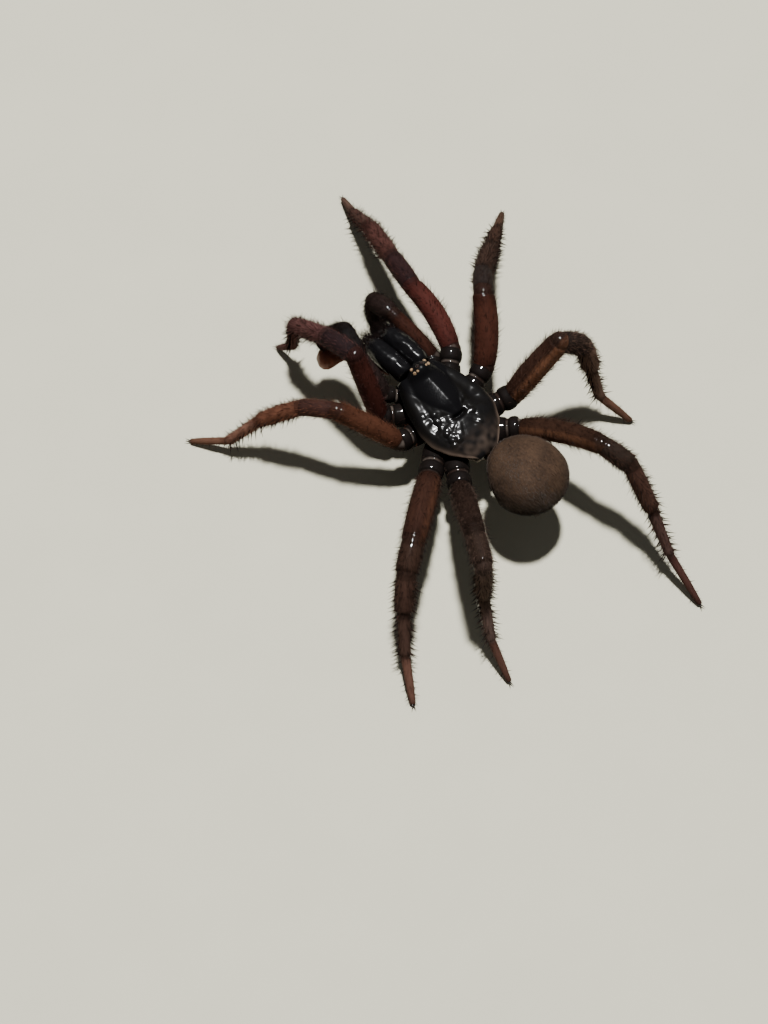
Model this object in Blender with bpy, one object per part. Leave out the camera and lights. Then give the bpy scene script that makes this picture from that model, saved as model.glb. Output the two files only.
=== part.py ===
"""Trapdoor spider, an adult male, life size, standing still on a flat floor.

Every sub-part is one named object with its own material. Sizes below are in
millimetres and are turned into Blender's metres where a mesh is made. The head
points toward -Y, the animal's left side is +X and +Z is up. The model is built
round the middle of the carapace and is then moved so that the middle of its
footprint on the floor is the origin.
"""

import math
import random
from dataclasses import dataclass

import bmesh
import bpy
from mathutils import Matrix, Vector

MM = 0.001
SIDES = {"left": 1.0, "right": -1.0}
GAP = 0.3
WELD = 0.000001

# Carapace: a domed plate, from its front edge to its rear edge
CARAPACE_FRONT = -3.7
CARAPACE_REAR = 3.6
CARAPACE_MARGIN_Z = 4.78
CARAPACE_RIM = 0.3
CARAPACE_TOP_POINTS = 17
CARAPACE_STATIONS = 15
# Half width and crest height above the margin, at a few shares of the length
CARAPACE_WIDTHS = ((0.0, 1.15), (0.06, 1.5), (0.25, 2.2), (0.5, 2.62), (0.66, 2.58), (0.82, 2.0),
                   (0.93, 1.25), (1.0, 0.7))
CARAPACE_CRESTS = ((0.0, 0.95), (0.1, 1.2), (0.3, 1.6), (0.46, 1.42), (0.6, 0.95), (0.78, 0.8),
                   (0.92, 0.5), (1.0, 0.2))
CARAPACE_DOME_POWER = 0.85
# Shares of the half width at which the underside of the plate has a point
CARAPACE_UNDER_POINTS = (-0.92, -0.46, 0.0, 0.46, 0.92)

# Eye tubercle: a low mound near the front edge that carries eight eyes
TUBERCLE_Y = -3.15
TUBERCLE_RADII = (0.72, 0.42, 0.34)
TUBERCLE_Z = 6.42
TUBERCLE_SEGMENTS = 16
TUBERCLE_RINGS = 8
EYE_SEGMENTS = 8
EYE_RINGS = 6
# Places of the eyes of one side on the mound, and their radii
EYE_PAIRS = ((0.17, -0.12, 0.17), (0.56, -0.3, 0.17), (0.58, 0.14, 0.15), (0.36, 0.17, 0.12))

# Sternum: the plate under the body, with the lip at its front
STERNUM_FRONT = -2.9
STERNUM_REAR = 2.7
STERNUM_BOTTOM = 2.75
STERNUM_TOP = 4.1
STERNUM_WIDTHS = ((0.0, 0.3), (0.12, 0.5), (0.3, 0.85), (0.6, 1.05), (0.85, 0.85), (1.0, 0.4))
STERNUM_STATIONS = 9
STERNUM_POINTS = 12
# Part of a half wave, from its start to its end, that thins the plate at both ends
STERNUM_WAVE = (0.12, 0.88)
STERNUM_WAVE_POWER = 0.5

# Chelicerae: two stout jaw bases that point forward and droop
CHELICERA_BASE = (0.66, -4.02, 5.3)
CHELICERA_CREST = (0.76, -5.7, 5.32)
CHELICERA_TIP = (0.6, -7.35, 4.5)
CHELICERA_LEAN = 0.22
CHELICERA_HALF_WIDTH = 0.48
CHELICERA_HALF_HEIGHT = 0.8
CHELICERA_STATIONS = 9
CHELICERA_POINTS = 12
CHELICERA_WIDTH_TAPER = 0.12
CHELICERA_HEIGHT_TAPER = 0.42
# Share of the full section left at the blunt tip, and how fast it fills out behind it
CHELICERA_TIP_SHARE = 0.55
CHELICERA_TIP_RATE = 3.0
# Fangs: folded back under the chelicerae
FANG_ROUTE = ((0.6, -7.1, 3.42), (0.62, -6.75, 3.02), (0.62, -6.2, 2.92), (0.6, -5.65, 3.12),
              (0.56, -5.3, 3.4))
FANG_RADII = (0.27, 0.26, 0.22, 0.15, 0.06)

# Abdomen, the stalk that carries it, and its spinnerets
ABDOMEN_CENTRE = (-0.5, 6.72, 5.5)
ABDOMEN_RADII = (2.58, 2.6, 2.25)
ABDOMEN_FRONT_NARROWING = 0.14
ABDOMEN_SEGMENTS = 22
ABDOMEN_RINGS = 12
PEDICEL_ROUTE = ((-0.02, 3.0, 3.85), (-0.05, 3.5, 4.05), (-0.1, 4.02, 4.35))
PEDICEL_RADIUS = 0.36
SPINNERET_SPREAD = 0.42
SPINNERET_ROOT = (7.92, 3.19)
SPINNERET_LENGTH = 0.62
SPINNERET_RADIUS = 0.28
SPINNERET_DROOP = 68.0
# Shape of a spinneret: share of its length, share of its radius
SPINNERET_PROFILE = ((0.0, 1.0), (0.35, 0.98), (0.4, 0.84), (0.7, 0.8), (0.76, 0.6), (1.0, 0.4))

# Shape of one segment: share of its length, share of its radius
COXA_PROFILE = ((0.0, 0.78), (0.2, 0.9), (0.5, 1.0), (0.66, 0.86), (0.8, 0.95), (1.0, 0.86))
FEMUR_PROFILE = ((0.0, 0.72), (0.16, 0.9), (0.38, 1.0), (0.68, 0.95), (1.0, 0.78))
PATELLA_PROFILE = ((0.0, 0.84), (0.3, 1.0), (0.7, 1.0), (1.0, 0.86))
TIBIA_PROFILE = ((0.0, 0.9), (0.25, 1.0), (0.7, 0.95), (1.0, 0.76))
METATARSUS_PROFILE = ((0.0, 0.95), (0.4, 1.0), (1.0, 0.85))
TARSUS_PROFILE = ((0.0, 1.0), (0.5, 1.0), (1.0, 0.88))
# Spines: stout tapering bristles in rows on the shins and the metatarsi
SPINE_SEED = 7
SPINE_SIDES = 5
SPINE_LENGTH = 0.72
SPINE_RADIUS = 0.23
SPINE_TIP_RADIUS = 0.03
SPINE_SUNK = 0.16
SPINE_LEAN = 52.0
SPINE_TURN_JITTER = 14.0
SPINE_SHARE_JITTER = 0.03
SPINE_LENGTH_JITTER = 0.15
# Rows of spines: first and last share of the segment, spines in the row, degrees from its back
TIBIA_SPINE_ROWS = ((0.45, 0.9, 2, 78.0), (0.35, 0.8, 2, -82.0))
METATARSUS_SPINE_ROWS = ((0.28, 0.9, 3, 86.0), (0.36, 0.96, 3, -94.0))
# Claws: two at the end of each foot
CLAW_LENGTH = 0.42
CLAW_SUNK = 0.22
CLAW_RADIUS = 0.1
CLAW_SPLAY = 24.0
# Rounding of a free end: share of the end radius along the axis and across it
END_ROUNDING = ((0.04, 0.5), (0.3, 0.82))
# Least distance of the next station from a rounded end, as a share of the end radius
END_CLEARANCE = 0.75
LEG_BEVEL_RESOLUTION = 3
THIN_BEVEL_RESOLUTION = 2
FOOT_AXIS_HEIGHT = 0.14
# Faces that meet at more than this many degrees show a sharp edge
SHARP_ANGLE = 50.0


@dataclass(frozen=True)
class LegSizes:
    """Lengths and largest radii of the segments of one leg, in mm."""

    femur: float
    patella: float
    tibia: float
    metatarsus: float
    tarsus: float
    coxa_radius: float
    femur_radius: float
    patella_radius: float
    tibia_radius: float
    metatarsus_radius: float
    tarsus_radius: float


@dataclass(frozen=True)
class LegPose:
    """Stance of one leg: inner end of its coxa, hip, and angles in degrees.

    A turn is measured from straight sideways toward the head, and a lift from
    level upward. The tarsus has a turn but no lift, as its foot is set down.
    """

    root: tuple
    hip: tuple
    turns: tuple
    lifts: tuple


LEG_SIZES = {
    1: LegSizes(5.2, 2.7, 3.8, 3.2, 2.2, 0.56, 0.74, 0.66, 0.56, 0.34, 0.26),
    2: LegSizes(4.8, 2.5, 3.6, 3.2, 2.8, 0.58, 0.72, 0.6, 0.52, 0.33, 0.26),
    3: LegSizes(5.2, 2.0, 2.5, 2.8, 3.1, 0.6, 0.82, 0.66, 0.57, 0.34, 0.26),
    4: LegSizes(6.0, 2.2, 3.5, 3.2, 3.8, 0.62, 0.76, 0.64, 0.54, 0.34, 0.26),
}

LEG_POSES = {
    ("left", 1): LegPose((1.35, -1.95, 3.45), (3.35, -3.2, 3.9),
                         (93, 85, 83, 79, 77), (61, -19, -35, -84)),
    ("right", 1): LegPose((1.35, -1.95, 3.45), (3.3, -3.8, 4.0),
                          (80, 79, 75, 76, 74), (7, -8, -19, -36)),
    ("left", 2): LegPose((1.6, -0.7, 3.45), (3.6, -0.95, 3.9),
                         (53, 56, 44, 30, 50), (33, -19, -39, -45)),
    ("right", 2): LegPose((1.6, -0.7, 3.45), (4.0, -1.4, 4.1),
                          (51, 48, 37, 37, 37), (29, -27, -29, -35)),
    ("left", 3): LegPose((1.6, 0.6, 3.45), (3.7, 2.2, 4.0),
                         (-37, -38, -45, -53, -60), (13, -12, -40, -35)),
    ("right", 3): LegPose((1.6, 0.6, 3.45), (4.15, 1.25, 4.0),
                          (-9, -28, -66, -82, -60), (53, -33, -71, -66)),
    ("left", 4): LegPose((1.35, 1.9, 3.45), (2.7, 3.95, 3.9),
                         (-58, -62, -65, -66, -78), (38, 5, -80, -50)),
    ("right", 4): LegPose((1.35, 1.9, 3.45), (2.95, 3.3, 3.9),
                          (-67, -73, -92, -101, -94), (27, -13, -43, -36)),
}
# Share of the usual length of a tarsus that an uneven leg has
TARSUS_SHARES = {("left", 4): 0.8}


@dataclass(frozen=True)
class PalpPose:
    """Stance of one palp, as joint places in mm for its own side."""

    root: tuple
    hip: tuple
    knee: tuple
    patella_end: tuple
    tibia_end: tuple
    tarsus_end: tuple
    bulb_base: tuple
    bulb_tip: tuple


PALP_POSES = {
    "left": PalpPose((0.78, -3.1, 3.5), (2.12, -4.05, 4.1), (2.4, -6.6, 6.3), (2.0, -8.3, 6.35),
                     (2.65, -9.3, 4.75), (3.05, -9.45, 4.05), (3.25, -8.95, 3.75), (2.15, -7.95, 3.6)),
    "right": PalpPose((0.78, -3.1, 3.5), (1.98, -4.15, 4.15), (1.5, -7.65, 5.5), (1.4, -9.35, 5.0),
                      (0.95, -9.75, 3.0), (0.75, -9.35, 2.35), (0.6, -8.75, 2.3), (0.5, -7.5, 2.3)),
}
PALP_COXA_RADIUS = 0.46
PALP_FEMUR_RADIUS = 0.48
PALP_PATELLA_RADIUS = 0.5
PALP_TIBIA_RADIUS = 0.52
PALP_TARSUS_RADIUS = 0.4
BULB_RADIUS = 0.52
# Pear shape of the bulb: share of its length, share of its radius
BULB_PROFILE = ((0.0, 0.55), (0.1, 0.85), (0.3, 1.0), (0.5, 0.85), (0.7, 0.45), (0.85, 0.24),
                (1.0, 0.14))

# Finishes: name, colour and roughness
SHELL_FINISH = ("black shell", (0.012, 0.012, 0.014), 0.18)
EYE_FINISH = ("eye", (0.02, 0.018, 0.02), 0.08)
FANG_FINISH = ("fang", (0.05, 0.012, 0.008), 0.2)
ABDOMEN_FINISH = ("velvet abdomen", (0.2, 0.12, 0.07), 0.85)
STALK_FINISH = ("pale membrane", (0.35, 0.28, 0.2), 0.5)
FRONT_LEG_FINISHES = {
    "coxa": ("dark coxa", (0.03, 0.022, 0.02), 0.3),
    "femur": ("dark red femur", (0.13, 0.022, 0.012), 0.3),
    "tibia": ("purple brown shin", (0.07, 0.022, 0.02), 0.35),
    "tarsus": ("red brown foot", (0.14, 0.04, 0.022), 0.4),
    "bulb": ("orange bulb", (0.36, 0.06, 0.02), 0.3),
}
REAR_LEG_FINISHES = {
    "femur": ("orange brown femur", (0.22, 0.065, 0.02), 0.35),
    "tibia": ("dark brown shin", (0.05, 0.026, 0.02), 0.45),
}


def clear_scene():
    """Remove what the scene holds, so that the script can be run again."""
    for old in list(bpy.data.objects):
        bpy.data.objects.remove(old, do_unlink=True)


def metres(place):
    """Turn a place in mm into a vector in metres."""
    return Vector(place) * MM


def mirrored(place, side):
    """Turn a place given for the left side into that of the named side."""
    return Vector((place[0] * SIDES[side], place[1], place[2]))


def between(stations, share):
    """Read a smooth value at a share of the length from a few stations."""
    for (start, low), (end, high) in zip(stations, stations[1:]):
        if share <= end:
            part = (share - start) / (end - start)
            eased = part * part * (3.0 - 2.0 * part)
            return low + (high - low) * (0.5 * part + 0.5 * eased)
    return stations[-1][1]


def make_material(name, colour, roughness):
    """Make a Principled material."""
    material = bpy.data.materials.new(name)
    material.use_nodes = True
    shader = material.node_tree.nodes["Principled BSDF"]
    shader.inputs["Base Color"].default_value = (*colour, 1.0)
    shader.inputs["Roughness"].default_value = roughness
    return material


def add_object(name, mesh, material, collection):
    """Link a mesh as a named object with its material."""
    part = bpy.data.objects.new(name, mesh)
    mesh.materials.append(material)
    mesh.shade_smooth()
    mesh.set_sharp_from_angle(angle=math.radians(SHARP_ANGLE))
    collection.objects.link(part)
    return part


def loft(name, rings, material, collection):
    """Skin a list of rings of equal count, closed by a fan at each end."""
    mesh = bpy.data.meshes.new(name)
    bm = bmesh.new()
    rows = [[bm.verts.new(metres(point)) for point in ring] for ring in rings]
    count = len(rings[0])
    for row, following in zip(rows, rows[1:]):
        for i in range(count):
            j = (i + 1) % count
            bm.faces.new((row[i], row[j], following[j], following[i]))
    for row in (rows[0], rows[-1]):
        middle = bm.verts.new(sum((v.co for v in row), Vector()) / count)
        for i in range(count):
            bm.faces.new((row[i], row[(i + 1) % count], middle))
    bmesh.ops.recalc_face_normals(bm, faces=bm.faces)
    bm.to_mesh(mesh)
    bm.free()
    return add_object(name, mesh, material, collection)


def tube(name, stations, material, collection, resolution=LEG_BEVEL_RESOLUTION):
    """Make a tapering tube along stations of (place, radius) in mm."""
    curve = bpy.data.curves.new(name, "CURVE")
    curve.dimensions = "3D"
    curve.bevel_depth = MM
    curve.bevel_resolution = resolution
    curve.use_fill_caps = True
    spline = curve.splines.new("POLY")
    spline.points.add(len(stations) - 1)
    for point, (place, radius) in zip(spline.points, stations):
        point.co = (*metres(place), 1.0)
        point.radius = radius
    guide = bpy.data.objects.new(name + ".curve", curve)
    bpy.context.scene.collection.objects.link(guide)
    bpy.context.view_layer.update()
    evaluated = guide.evaluated_get(bpy.context.evaluated_depsgraph_get())
    mesh = bpy.data.meshes.new_from_object(evaluated)
    bpy.data.objects.remove(guide, do_unlink=True)
    bm = bmesh.new()
    bm.from_mesh(mesh)
    bmesh.ops.remove_doubles(bm, verts=bm.verts, dist=WELD)
    bmesh.ops.recalc_face_normals(bm, faces=bm.faces)
    bm.to_mesh(mesh)
    bm.free()
    mesh.name = name
    mesh.materials.clear()
    return add_object(name, mesh, material, collection)


def rounded_run(start, end, profile, radius, start_trim=0.0, end_trim=0.0):
    """List the stations of one segment, with its trimmed ends rounded off.

    A trim of nothing leaves that end open for the segment that follows on.
    """
    start, end = Vector(start), Vector(end)
    along = (end - start).normalized()
    first = start + along * start_trim
    last = end - along * end_trim
    length = (last - first).length
    first_radius = radius * profile[0][1]
    last_radius = radius * profile[-1][1]
    run = []
    if start_trim > 0.0:
        for axial, across in END_ROUNDING:
            run.append((first + along * first_radius * axial, first_radius * across))
    for share, size in profile:
        from_start = share * length
        if start_trim > 0.0:
            from_start = max(from_start, first_radius * END_CLEARANCE)
        if end_trim > 0.0:
            from_start = min(from_start, length - last_radius * END_CLEARANCE)
        run.append((first + along * from_start, radius * size))
    if end_trim > 0.0:
        for axial, across in reversed(END_ROUNDING):
            run.append((last - along * last_radius * axial, last_radius * across))
    return run


def joint_trim(before, joint, after, radius):
    """Work out how far two rounded ends stand back from a bent joint."""
    incoming = (Vector(joint) - Vector(before)).normalized()
    outgoing = (Vector(after) - Vector(joint)).normalized()
    half_bend = incoming.angle(outgoing) / 2.0
    return max(GAP / 2.0, (radius + GAP / 2.0) / math.cos(half_bend) - radius)


def heading(turn, lift, side):
    """Give the direction of a leg segment from its two angles."""
    turn, lift = math.radians(turn), math.radians(lift)
    level = math.cos(lift)
    return Vector((SIDES[side] * math.cos(turn) * level, -math.sin(turn) * level, math.sin(lift)))


def leg_joints(side, number):
    """Walk a leg from its hip to its foot and list its six joint places."""
    sizes, pose = LEG_SIZES[number], LEG_POSES[side, number]
    lengths = (sizes.femur, sizes.patella, sizes.tibia, sizes.metatarsus)
    joints = [mirrored(pose.hip, side)]
    for length, turn, lift in zip(lengths, pose.turns, pose.lifts):
        joints.append(joints[-1] + heading(turn, lift, side) * length)
    drop = joints[-1].z - FOOT_AXIS_HEIGHT
    tarsus = sizes.tarsus * TARSUS_SHARES.get((side, number), 1.0)
    lift = -math.degrees(math.asin(min(1.0, drop / tarsus)))
    joints.append(joints[-1] + heading(pose.turns[-1], lift, side) * tarsus)
    return joints


def flatten_foot(part):
    """Cut a foot level with the floor and close the cut."""
    bm = bmesh.new()
    bm.from_mesh(part.data)
    everything = bm.verts[:] + bm.edges[:] + bm.faces[:]
    bmesh.ops.bisect_plane(bm, geom=everything, dist=WELD, plane_co=(0.0, 0.0, 0.0),
                           plane_no=(0.0, 0.0, 1.0), clear_inner=True)
    rim = [edge for edge in bm.edges if edge.is_boundary]
    if rim:
        bmesh.ops.contextual_create(bm, geom=rim)
    bmesh.ops.recalc_face_normals(bm, faces=bm.faces)
    bm.to_mesh(part.data)
    bm.free()


def cone(name, root, along, length, radius):
    """Make one tapering spine or claw, in mm, as a helper object."""
    mesh = bpy.data.meshes.new(name)
    bm = bmesh.new()
    turn = Vector((0.0, 0.0, 1.0)).rotation_difference(along).to_matrix().to_4x4()
    place = Matrix.Translation(metres(root + along * length / 2.0)) @ turn
    bmesh.ops.create_cone(bm, cap_ends=True, segments=SPINE_SIDES, radius1=radius * MM,
                          radius2=SPINE_TIP_RADIUS * MM, depth=length * MM, matrix=place)
    bm.to_mesh(mesh)
    bm.free()
    return bpy.data.objects.new(name, mesh)


def spine_rows(name, start, end, radius, rows, draw):
    """Set rows of spines along one segment, leaning toward its far end."""
    along = (end - start).normalized()
    across = along.cross(Vector((0.0, 0.0, 1.0))).normalized()
    back = across.cross(along)
    lean = math.radians(SPINE_LEAN)
    spines = []
    for first, last, count, around in rows:
        for i in range(count):
            share = first + (last - first) * i / (count - 1)
            share += draw.uniform(-SPINE_SHARE_JITTER, SPINE_SHARE_JITTER)
            angle = math.radians(around + draw.uniform(-SPINE_TURN_JITTER, SPINE_TURN_JITTER))
            outward = back * math.cos(angle) + across * math.sin(angle)
            pointing = (outward * math.sin(lean) + along * math.cos(lean)).normalized()
            root = start.lerp(end, share) + outward * (radius - SPINE_SUNK)
            length = SPINE_LENGTH * (1.0 + draw.uniform(-SPINE_LENGTH_JITTER, SPINE_LENGTH_JITTER))
            spines.append(cone(f"{name}_spine_{len(spines)}", root, pointing, length, SPINE_RADIUS))
    return spines


def claw_pair(name, foot, side, turn):
    """Set the two claws at the end of a foot, just clear of the floor."""
    claws = []
    for splay in (-CLAW_SPLAY, CLAW_SPLAY):
        pointing = heading(turn + splay, 0.0, side)
        root = foot - pointing * CLAW_SUNK
        length = CLAW_LENGTH + CLAW_SUNK
        claws.append(cone(f"{name}_claw_{len(claws)}", root, pointing, length, CLAW_RADIUS))
    return claws


def build_leg(side, number, paints, collection):
    """Build the four nodes of one leg."""
    sizes, pose = LEG_SIZES[number], LEG_POSES[side, number]
    hip, knee, shin, ankle, heel, foot = leg_joints(side, number)
    root = mirrored(pose.root, side)
    label = f"leg{number}_{side}_"
    hip_trim = joint_trim(root, hip, knee, sizes.femur_radius * FEMUR_PROFILE[0][1])
    knee_trim = joint_trim(hip, knee, shin, sizes.femur_radius * FEMUR_PROFILE[-1][1])
    ankle_trim = joint_trim(shin, ankle, heel, sizes.tibia_radius * TIBIA_PROFILE[-1][1])
    coxa = rounded_run(root, hip, COXA_PROFILE, sizes.coxa_radius, GAP / 2.0, hip_trim)
    tube(label + "coxa", coxa, paints["coxa"], collection)
    femur = rounded_run(hip, knee, FEMUR_PROFILE, sizes.femur_radius, hip_trim, knee_trim)
    tube(label + "femur", femur, paints["femur"], collection)
    patella = rounded_run(knee, shin, PATELLA_PROFILE, sizes.patella_radius, knee_trim, 0.0)
    tibia = rounded_run(shin, ankle, TIBIA_PROFILE, sizes.tibia_radius, 0.0, ankle_trim)
    shin_part = tube(label + "patella_tibia", patella[:-1] + tibia, paints["tibia"], collection)
    draw = random.Random(SPINE_SEED + number)
    spines = spine_rows(label + "tibia", shin, ankle, sizes.tibia_radius, TIBIA_SPINE_ROWS, draw)
    fuse(shin_part, spines)
    metatarsus = rounded_run(ankle, heel, METATARSUS_PROFILE, sizes.metatarsus_radius, ankle_trim, 0.0)
    tarsus = rounded_run(heel, foot, TARSUS_PROFILE, sizes.tarsus_radius)
    shank = tube(label + "metatarsus_tarsus", metatarsus[:-1] + tarsus, paints["tarsus"], collection,
                 THIN_BEVEL_RESOLUTION)
    flatten_foot(shank)
    spines = spine_rows(label + "metatarsus", ankle, heel, sizes.metatarsus_radius,
                        METATARSUS_SPINE_ROWS, draw)
    claws = claw_pair(label, foot, side, pose.turns[-1])
    fuse(shank, spines + claws)


def build_palp(side, paints, collection):
    """Build the five nodes of one palp, the short leg beside the jaws."""
    pose = PALP_POSES[side]
    places = [mirrored(place, side) for place in (
        pose.root, pose.hip, pose.knee, pose.patella_end, pose.tibia_end, pose.tarsus_end,
        pose.bulb_base, pose.bulb_tip)]
    root, hip, knee, shin, wrist, claw, bulb_base, bulb_tip = places
    label = f"palp_{side}_"
    hip_trim = joint_trim(root, hip, knee, PALP_FEMUR_RADIUS * FEMUR_PROFILE[0][1])
    knee_trim = joint_trim(hip, knee, shin, PALP_FEMUR_RADIUS * FEMUR_PROFILE[-1][1])
    wrist_trim = joint_trim(shin, wrist, claw, PALP_TARSUS_RADIUS * PATELLA_PROFILE[0][1])
    coxa = rounded_run(root, hip, COXA_PROFILE, PALP_COXA_RADIUS, GAP / 2.0, hip_trim)
    tube(label + "coxa", coxa, paints["coxa"], collection)
    femur = rounded_run(hip, knee, FEMUR_PROFILE, PALP_FEMUR_RADIUS, hip_trim, knee_trim)
    tube(label + "femur", femur, paints["femur"], collection)
    patella = rounded_run(knee, shin, PATELLA_PROFILE, PALP_PATELLA_RADIUS, knee_trim, 0.0)
    tibia = rounded_run(shin, wrist, TIBIA_PROFILE, PALP_TIBIA_RADIUS, 0.0, wrist_trim)
    tube(label + "patella_tibia", patella[:-1] + tibia, paints["tibia"], collection)
    tarsus = rounded_run(wrist, claw, PATELLA_PROFILE, PALP_TARSUS_RADIUS, wrist_trim, GAP / 2.0)
    tube(label + "tarsus", tarsus, paints["tarsus"], collection)
    bulb = [(bulb_base.lerp(bulb_tip, share), BULB_RADIUS * size) for share, size in BULB_PROFILE]
    tube(label + "bulb", bulb, paints["bulb"], collection)


def carapace_ring(share):
    """Give one cross-section of the carapace: rim to rim over the crest, then back below."""
    y = CARAPACE_FRONT + (CARAPACE_REAR - CARAPACE_FRONT) * share
    half = between(CARAPACE_WIDTHS, share)
    crest = between(CARAPACE_CRESTS, share)
    ring = []
    for i in range(CARAPACE_TOP_POINTS):
        angle = math.pi * i / (CARAPACE_TOP_POINTS - 1)
        height = crest * math.sin(angle) ** CARAPACE_DOME_POWER
        ring.append((half * math.cos(angle), y, CARAPACE_MARGIN_Z + height))
    for across in CARAPACE_UNDER_POINTS:
        ring.append((half * across, y, CARAPACE_MARGIN_Z - CARAPACE_RIM))
    return ring


def build_carapace(material, collection):
    """Build the domed plate over the front body."""
    rings = [carapace_ring(i / (CARAPACE_STATIONS - 1)) for i in range(CARAPACE_STATIONS)]
    loft("carapace", rings, material, collection)


def build_sternum(material, collection):
    """Build the plate under the front body, with the lip at its front."""
    rings = []
    middle = (STERNUM_TOP + STERNUM_BOTTOM) / 2.0
    reach = (STERNUM_TOP - STERNUM_BOTTOM) / 2.0
    for i in range(STERNUM_STATIONS):
        share = i / (STERNUM_STATIONS - 1)
        y = STERNUM_FRONT + (STERNUM_REAR - STERNUM_FRONT) * share
        half = between(STERNUM_WIDTHS, share)
        wave = STERNUM_WAVE[0] + (STERNUM_WAVE[1] - STERNUM_WAVE[0]) * share
        swell = math.sin(math.pi * wave) ** STERNUM_WAVE_POWER
        ring = []
        for k in range(STERNUM_POINTS):
            angle = 2.0 * math.pi * k / STERNUM_POINTS
            ring.append((half * math.cos(angle), y, middle + reach * swell * math.sin(angle)))
        rings.append(ring)
    loft("sternum", rings, material, collection)


def bezier(start, middle, end, share):
    """Read a place on a three-point curve."""
    start, middle, end = Vector(start), Vector(middle), Vector(end)
    return start.lerp(middle, share).lerp(middle.lerp(end, share), share)


def build_chelicera(side, material, collection):
    """Build one jaw base, deep at the carapace and blunt at the fang."""
    rings = []
    for i in range(CHELICERA_STATIONS):
        share = i / (CHELICERA_STATIONS - 1)
        centre = mirrored(bezier(CHELICERA_BASE, CHELICERA_CREST, CHELICERA_TIP, share), side)
        centre.x += CHELICERA_LEAN * share
        blunt = min(1.0, CHELICERA_TIP_SHARE + CHELICERA_TIP_RATE * (1.0 - share))
        half = CHELICERA_HALF_WIDTH * (1.0 - CHELICERA_WIDTH_TAPER * share) * blunt
        tall = CHELICERA_HALF_HEIGHT * (1.0 - CHELICERA_HEIGHT_TAPER * share) * blunt
        ring = []
        for k in range(CHELICERA_POINTS):
            angle = 2.0 * math.pi * k / CHELICERA_POINTS
            ring.append((centre.x + half * math.cos(angle), centre.y, centre.z + tall * math.sin(angle)))
        rings.append(ring)
    loft(f"chelicera_{side}", rings, material, collection)


def build_fang(side, material, collection):
    """Build one fang, folded back below its jaw base."""
    stations = []
    for place, radius in zip(FANG_ROUTE, FANG_RADII):
        centre = mirrored(place, side)
        centre.x += CHELICERA_LEAN
        stations.append((centre, radius))
    tube(f"fang_{side}", stations, material, collection, THIN_BEVEL_RESOLUTION)


def sphere_mesh(name, centre, radii, segments, rings):
    """Make a sphere primitive, stretched to three radii round a centre."""
    mesh = bpy.data.meshes.new(name)
    bm = bmesh.new()
    bmesh.ops.create_uvsphere(bm, u_segments=segments, v_segments=rings, radius=1.0)
    shape = Matrix.Translation(metres(centre)) @ Matrix.Diagonal((*metres(radii), 1.0))
    bmesh.ops.transform(bm, matrix=shape, verts=bm.verts)
    bm.to_mesh(mesh)
    bm.free()
    return mesh


def keep_largest(mesh):
    """Keep only the largest closed surface of a mesh."""
    bm = bmesh.new()
    bm.from_mesh(mesh)
    waiting = set(bm.faces)
    surfaces = []
    while waiting:
        patch = {waiting.pop()}
        edge_of_patch = list(patch)
        while edge_of_patch:
            face = edge_of_patch.pop()
            for edge in face.edges:
                for other in edge.link_faces:
                    if other in waiting:
                        waiting.discard(other)
                        patch.add(other)
                        edge_of_patch.append(other)
        surfaces.append(patch)
    surfaces.sort(key=lambda patch: sum(face.calc_area() for face in patch))
    scraps = [face for patch in surfaces[:-1] for face in patch]
    bmesh.ops.delete(bm, geom=scraps, context="FACES")
    bm.to_mesh(mesh)
    bm.free()


def fuse(part, pieces):
    """Join pieces to a part with one Boolean union and remove them."""
    helpers = bpy.data.collections.new(part.name + ".pieces")
    bpy.context.scene.collection.children.link(helpers)
    for piece in pieces:
        helpers.objects.link(piece)
    union = part.modifiers.new("union", "BOOLEAN")
    union.operation = "UNION"
    union.operand_type = "COLLECTION"
    union.collection = helpers
    union.solver = "EXACT"
    bpy.context.view_layer.update()
    evaluated = part.evaluated_get(bpy.context.evaluated_depsgraph_get())
    fused = bpy.data.meshes.new_from_object(evaluated)
    part.modifiers.remove(union)
    keep_largest(fused)
    part.data = fused
    for piece in pieces:
        bpy.data.objects.remove(piece, do_unlink=True)
    bpy.data.collections.remove(helpers)


def build_eye_tubercle(material, collection):
    """Build the eye mound with its eight eyes."""
    centre = Vector((0.0, TUBERCLE_Y, TUBERCLE_Z))
    mesh = sphere_mesh("eye_tubercle", centre, TUBERCLE_RADII, TUBERCLE_SEGMENTS, TUBERCLE_RINGS)
    mound = add_object("eye_tubercle", mesh, material, collection)
    eyes = []
    for index, (x, y, radius) in enumerate(EYE_PAIRS):
        rise = math.sqrt(max(0.0, 1.0 - (x / TUBERCLE_RADII[0]) ** 2 - (y / TUBERCLE_RADII[1]) ** 2))
        for side in SIDES:
            place = centre + mirrored((x, y, TUBERCLE_RADII[2] * rise), side)
            name = f"eye_{index}_{side}"
            eye = sphere_mesh(name, place, (radius,) * 3, EYE_SEGMENTS, EYE_RINGS)
            eyes.append(bpy.data.objects.new(name, eye))
    fuse(mound, eyes)


def build_abdomen(material, collection):
    """Build the egg-shaped rear body, narrower toward the stalk."""
    mesh = sphere_mesh("abdomen", (0.0, 0.0, 0.0), ABDOMEN_RADII, ABDOMEN_SEGMENTS, ABDOMEN_RINGS)
    length = ABDOMEN_RADII[1] * MM
    for vertex in mesh.vertices:
        share = vertex.co.y / length
        slim = 1.0 - ABDOMEN_FRONT_NARROWING * max(0.0, -share)
        vertex.co.x *= slim
        vertex.co.z *= slim
        vertex.co += metres(ABDOMEN_CENTRE)
    add_object("abdomen", mesh, material, collection)


def build_pedicel(material, collection):
    """Build the stalk between the front body and the abdomen."""
    stations = [(place, PEDICEL_RADIUS) for place in PEDICEL_ROUTE]
    tube("pedicel", stations, material, collection, THIN_BEVEL_RESOLUTION)


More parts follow.
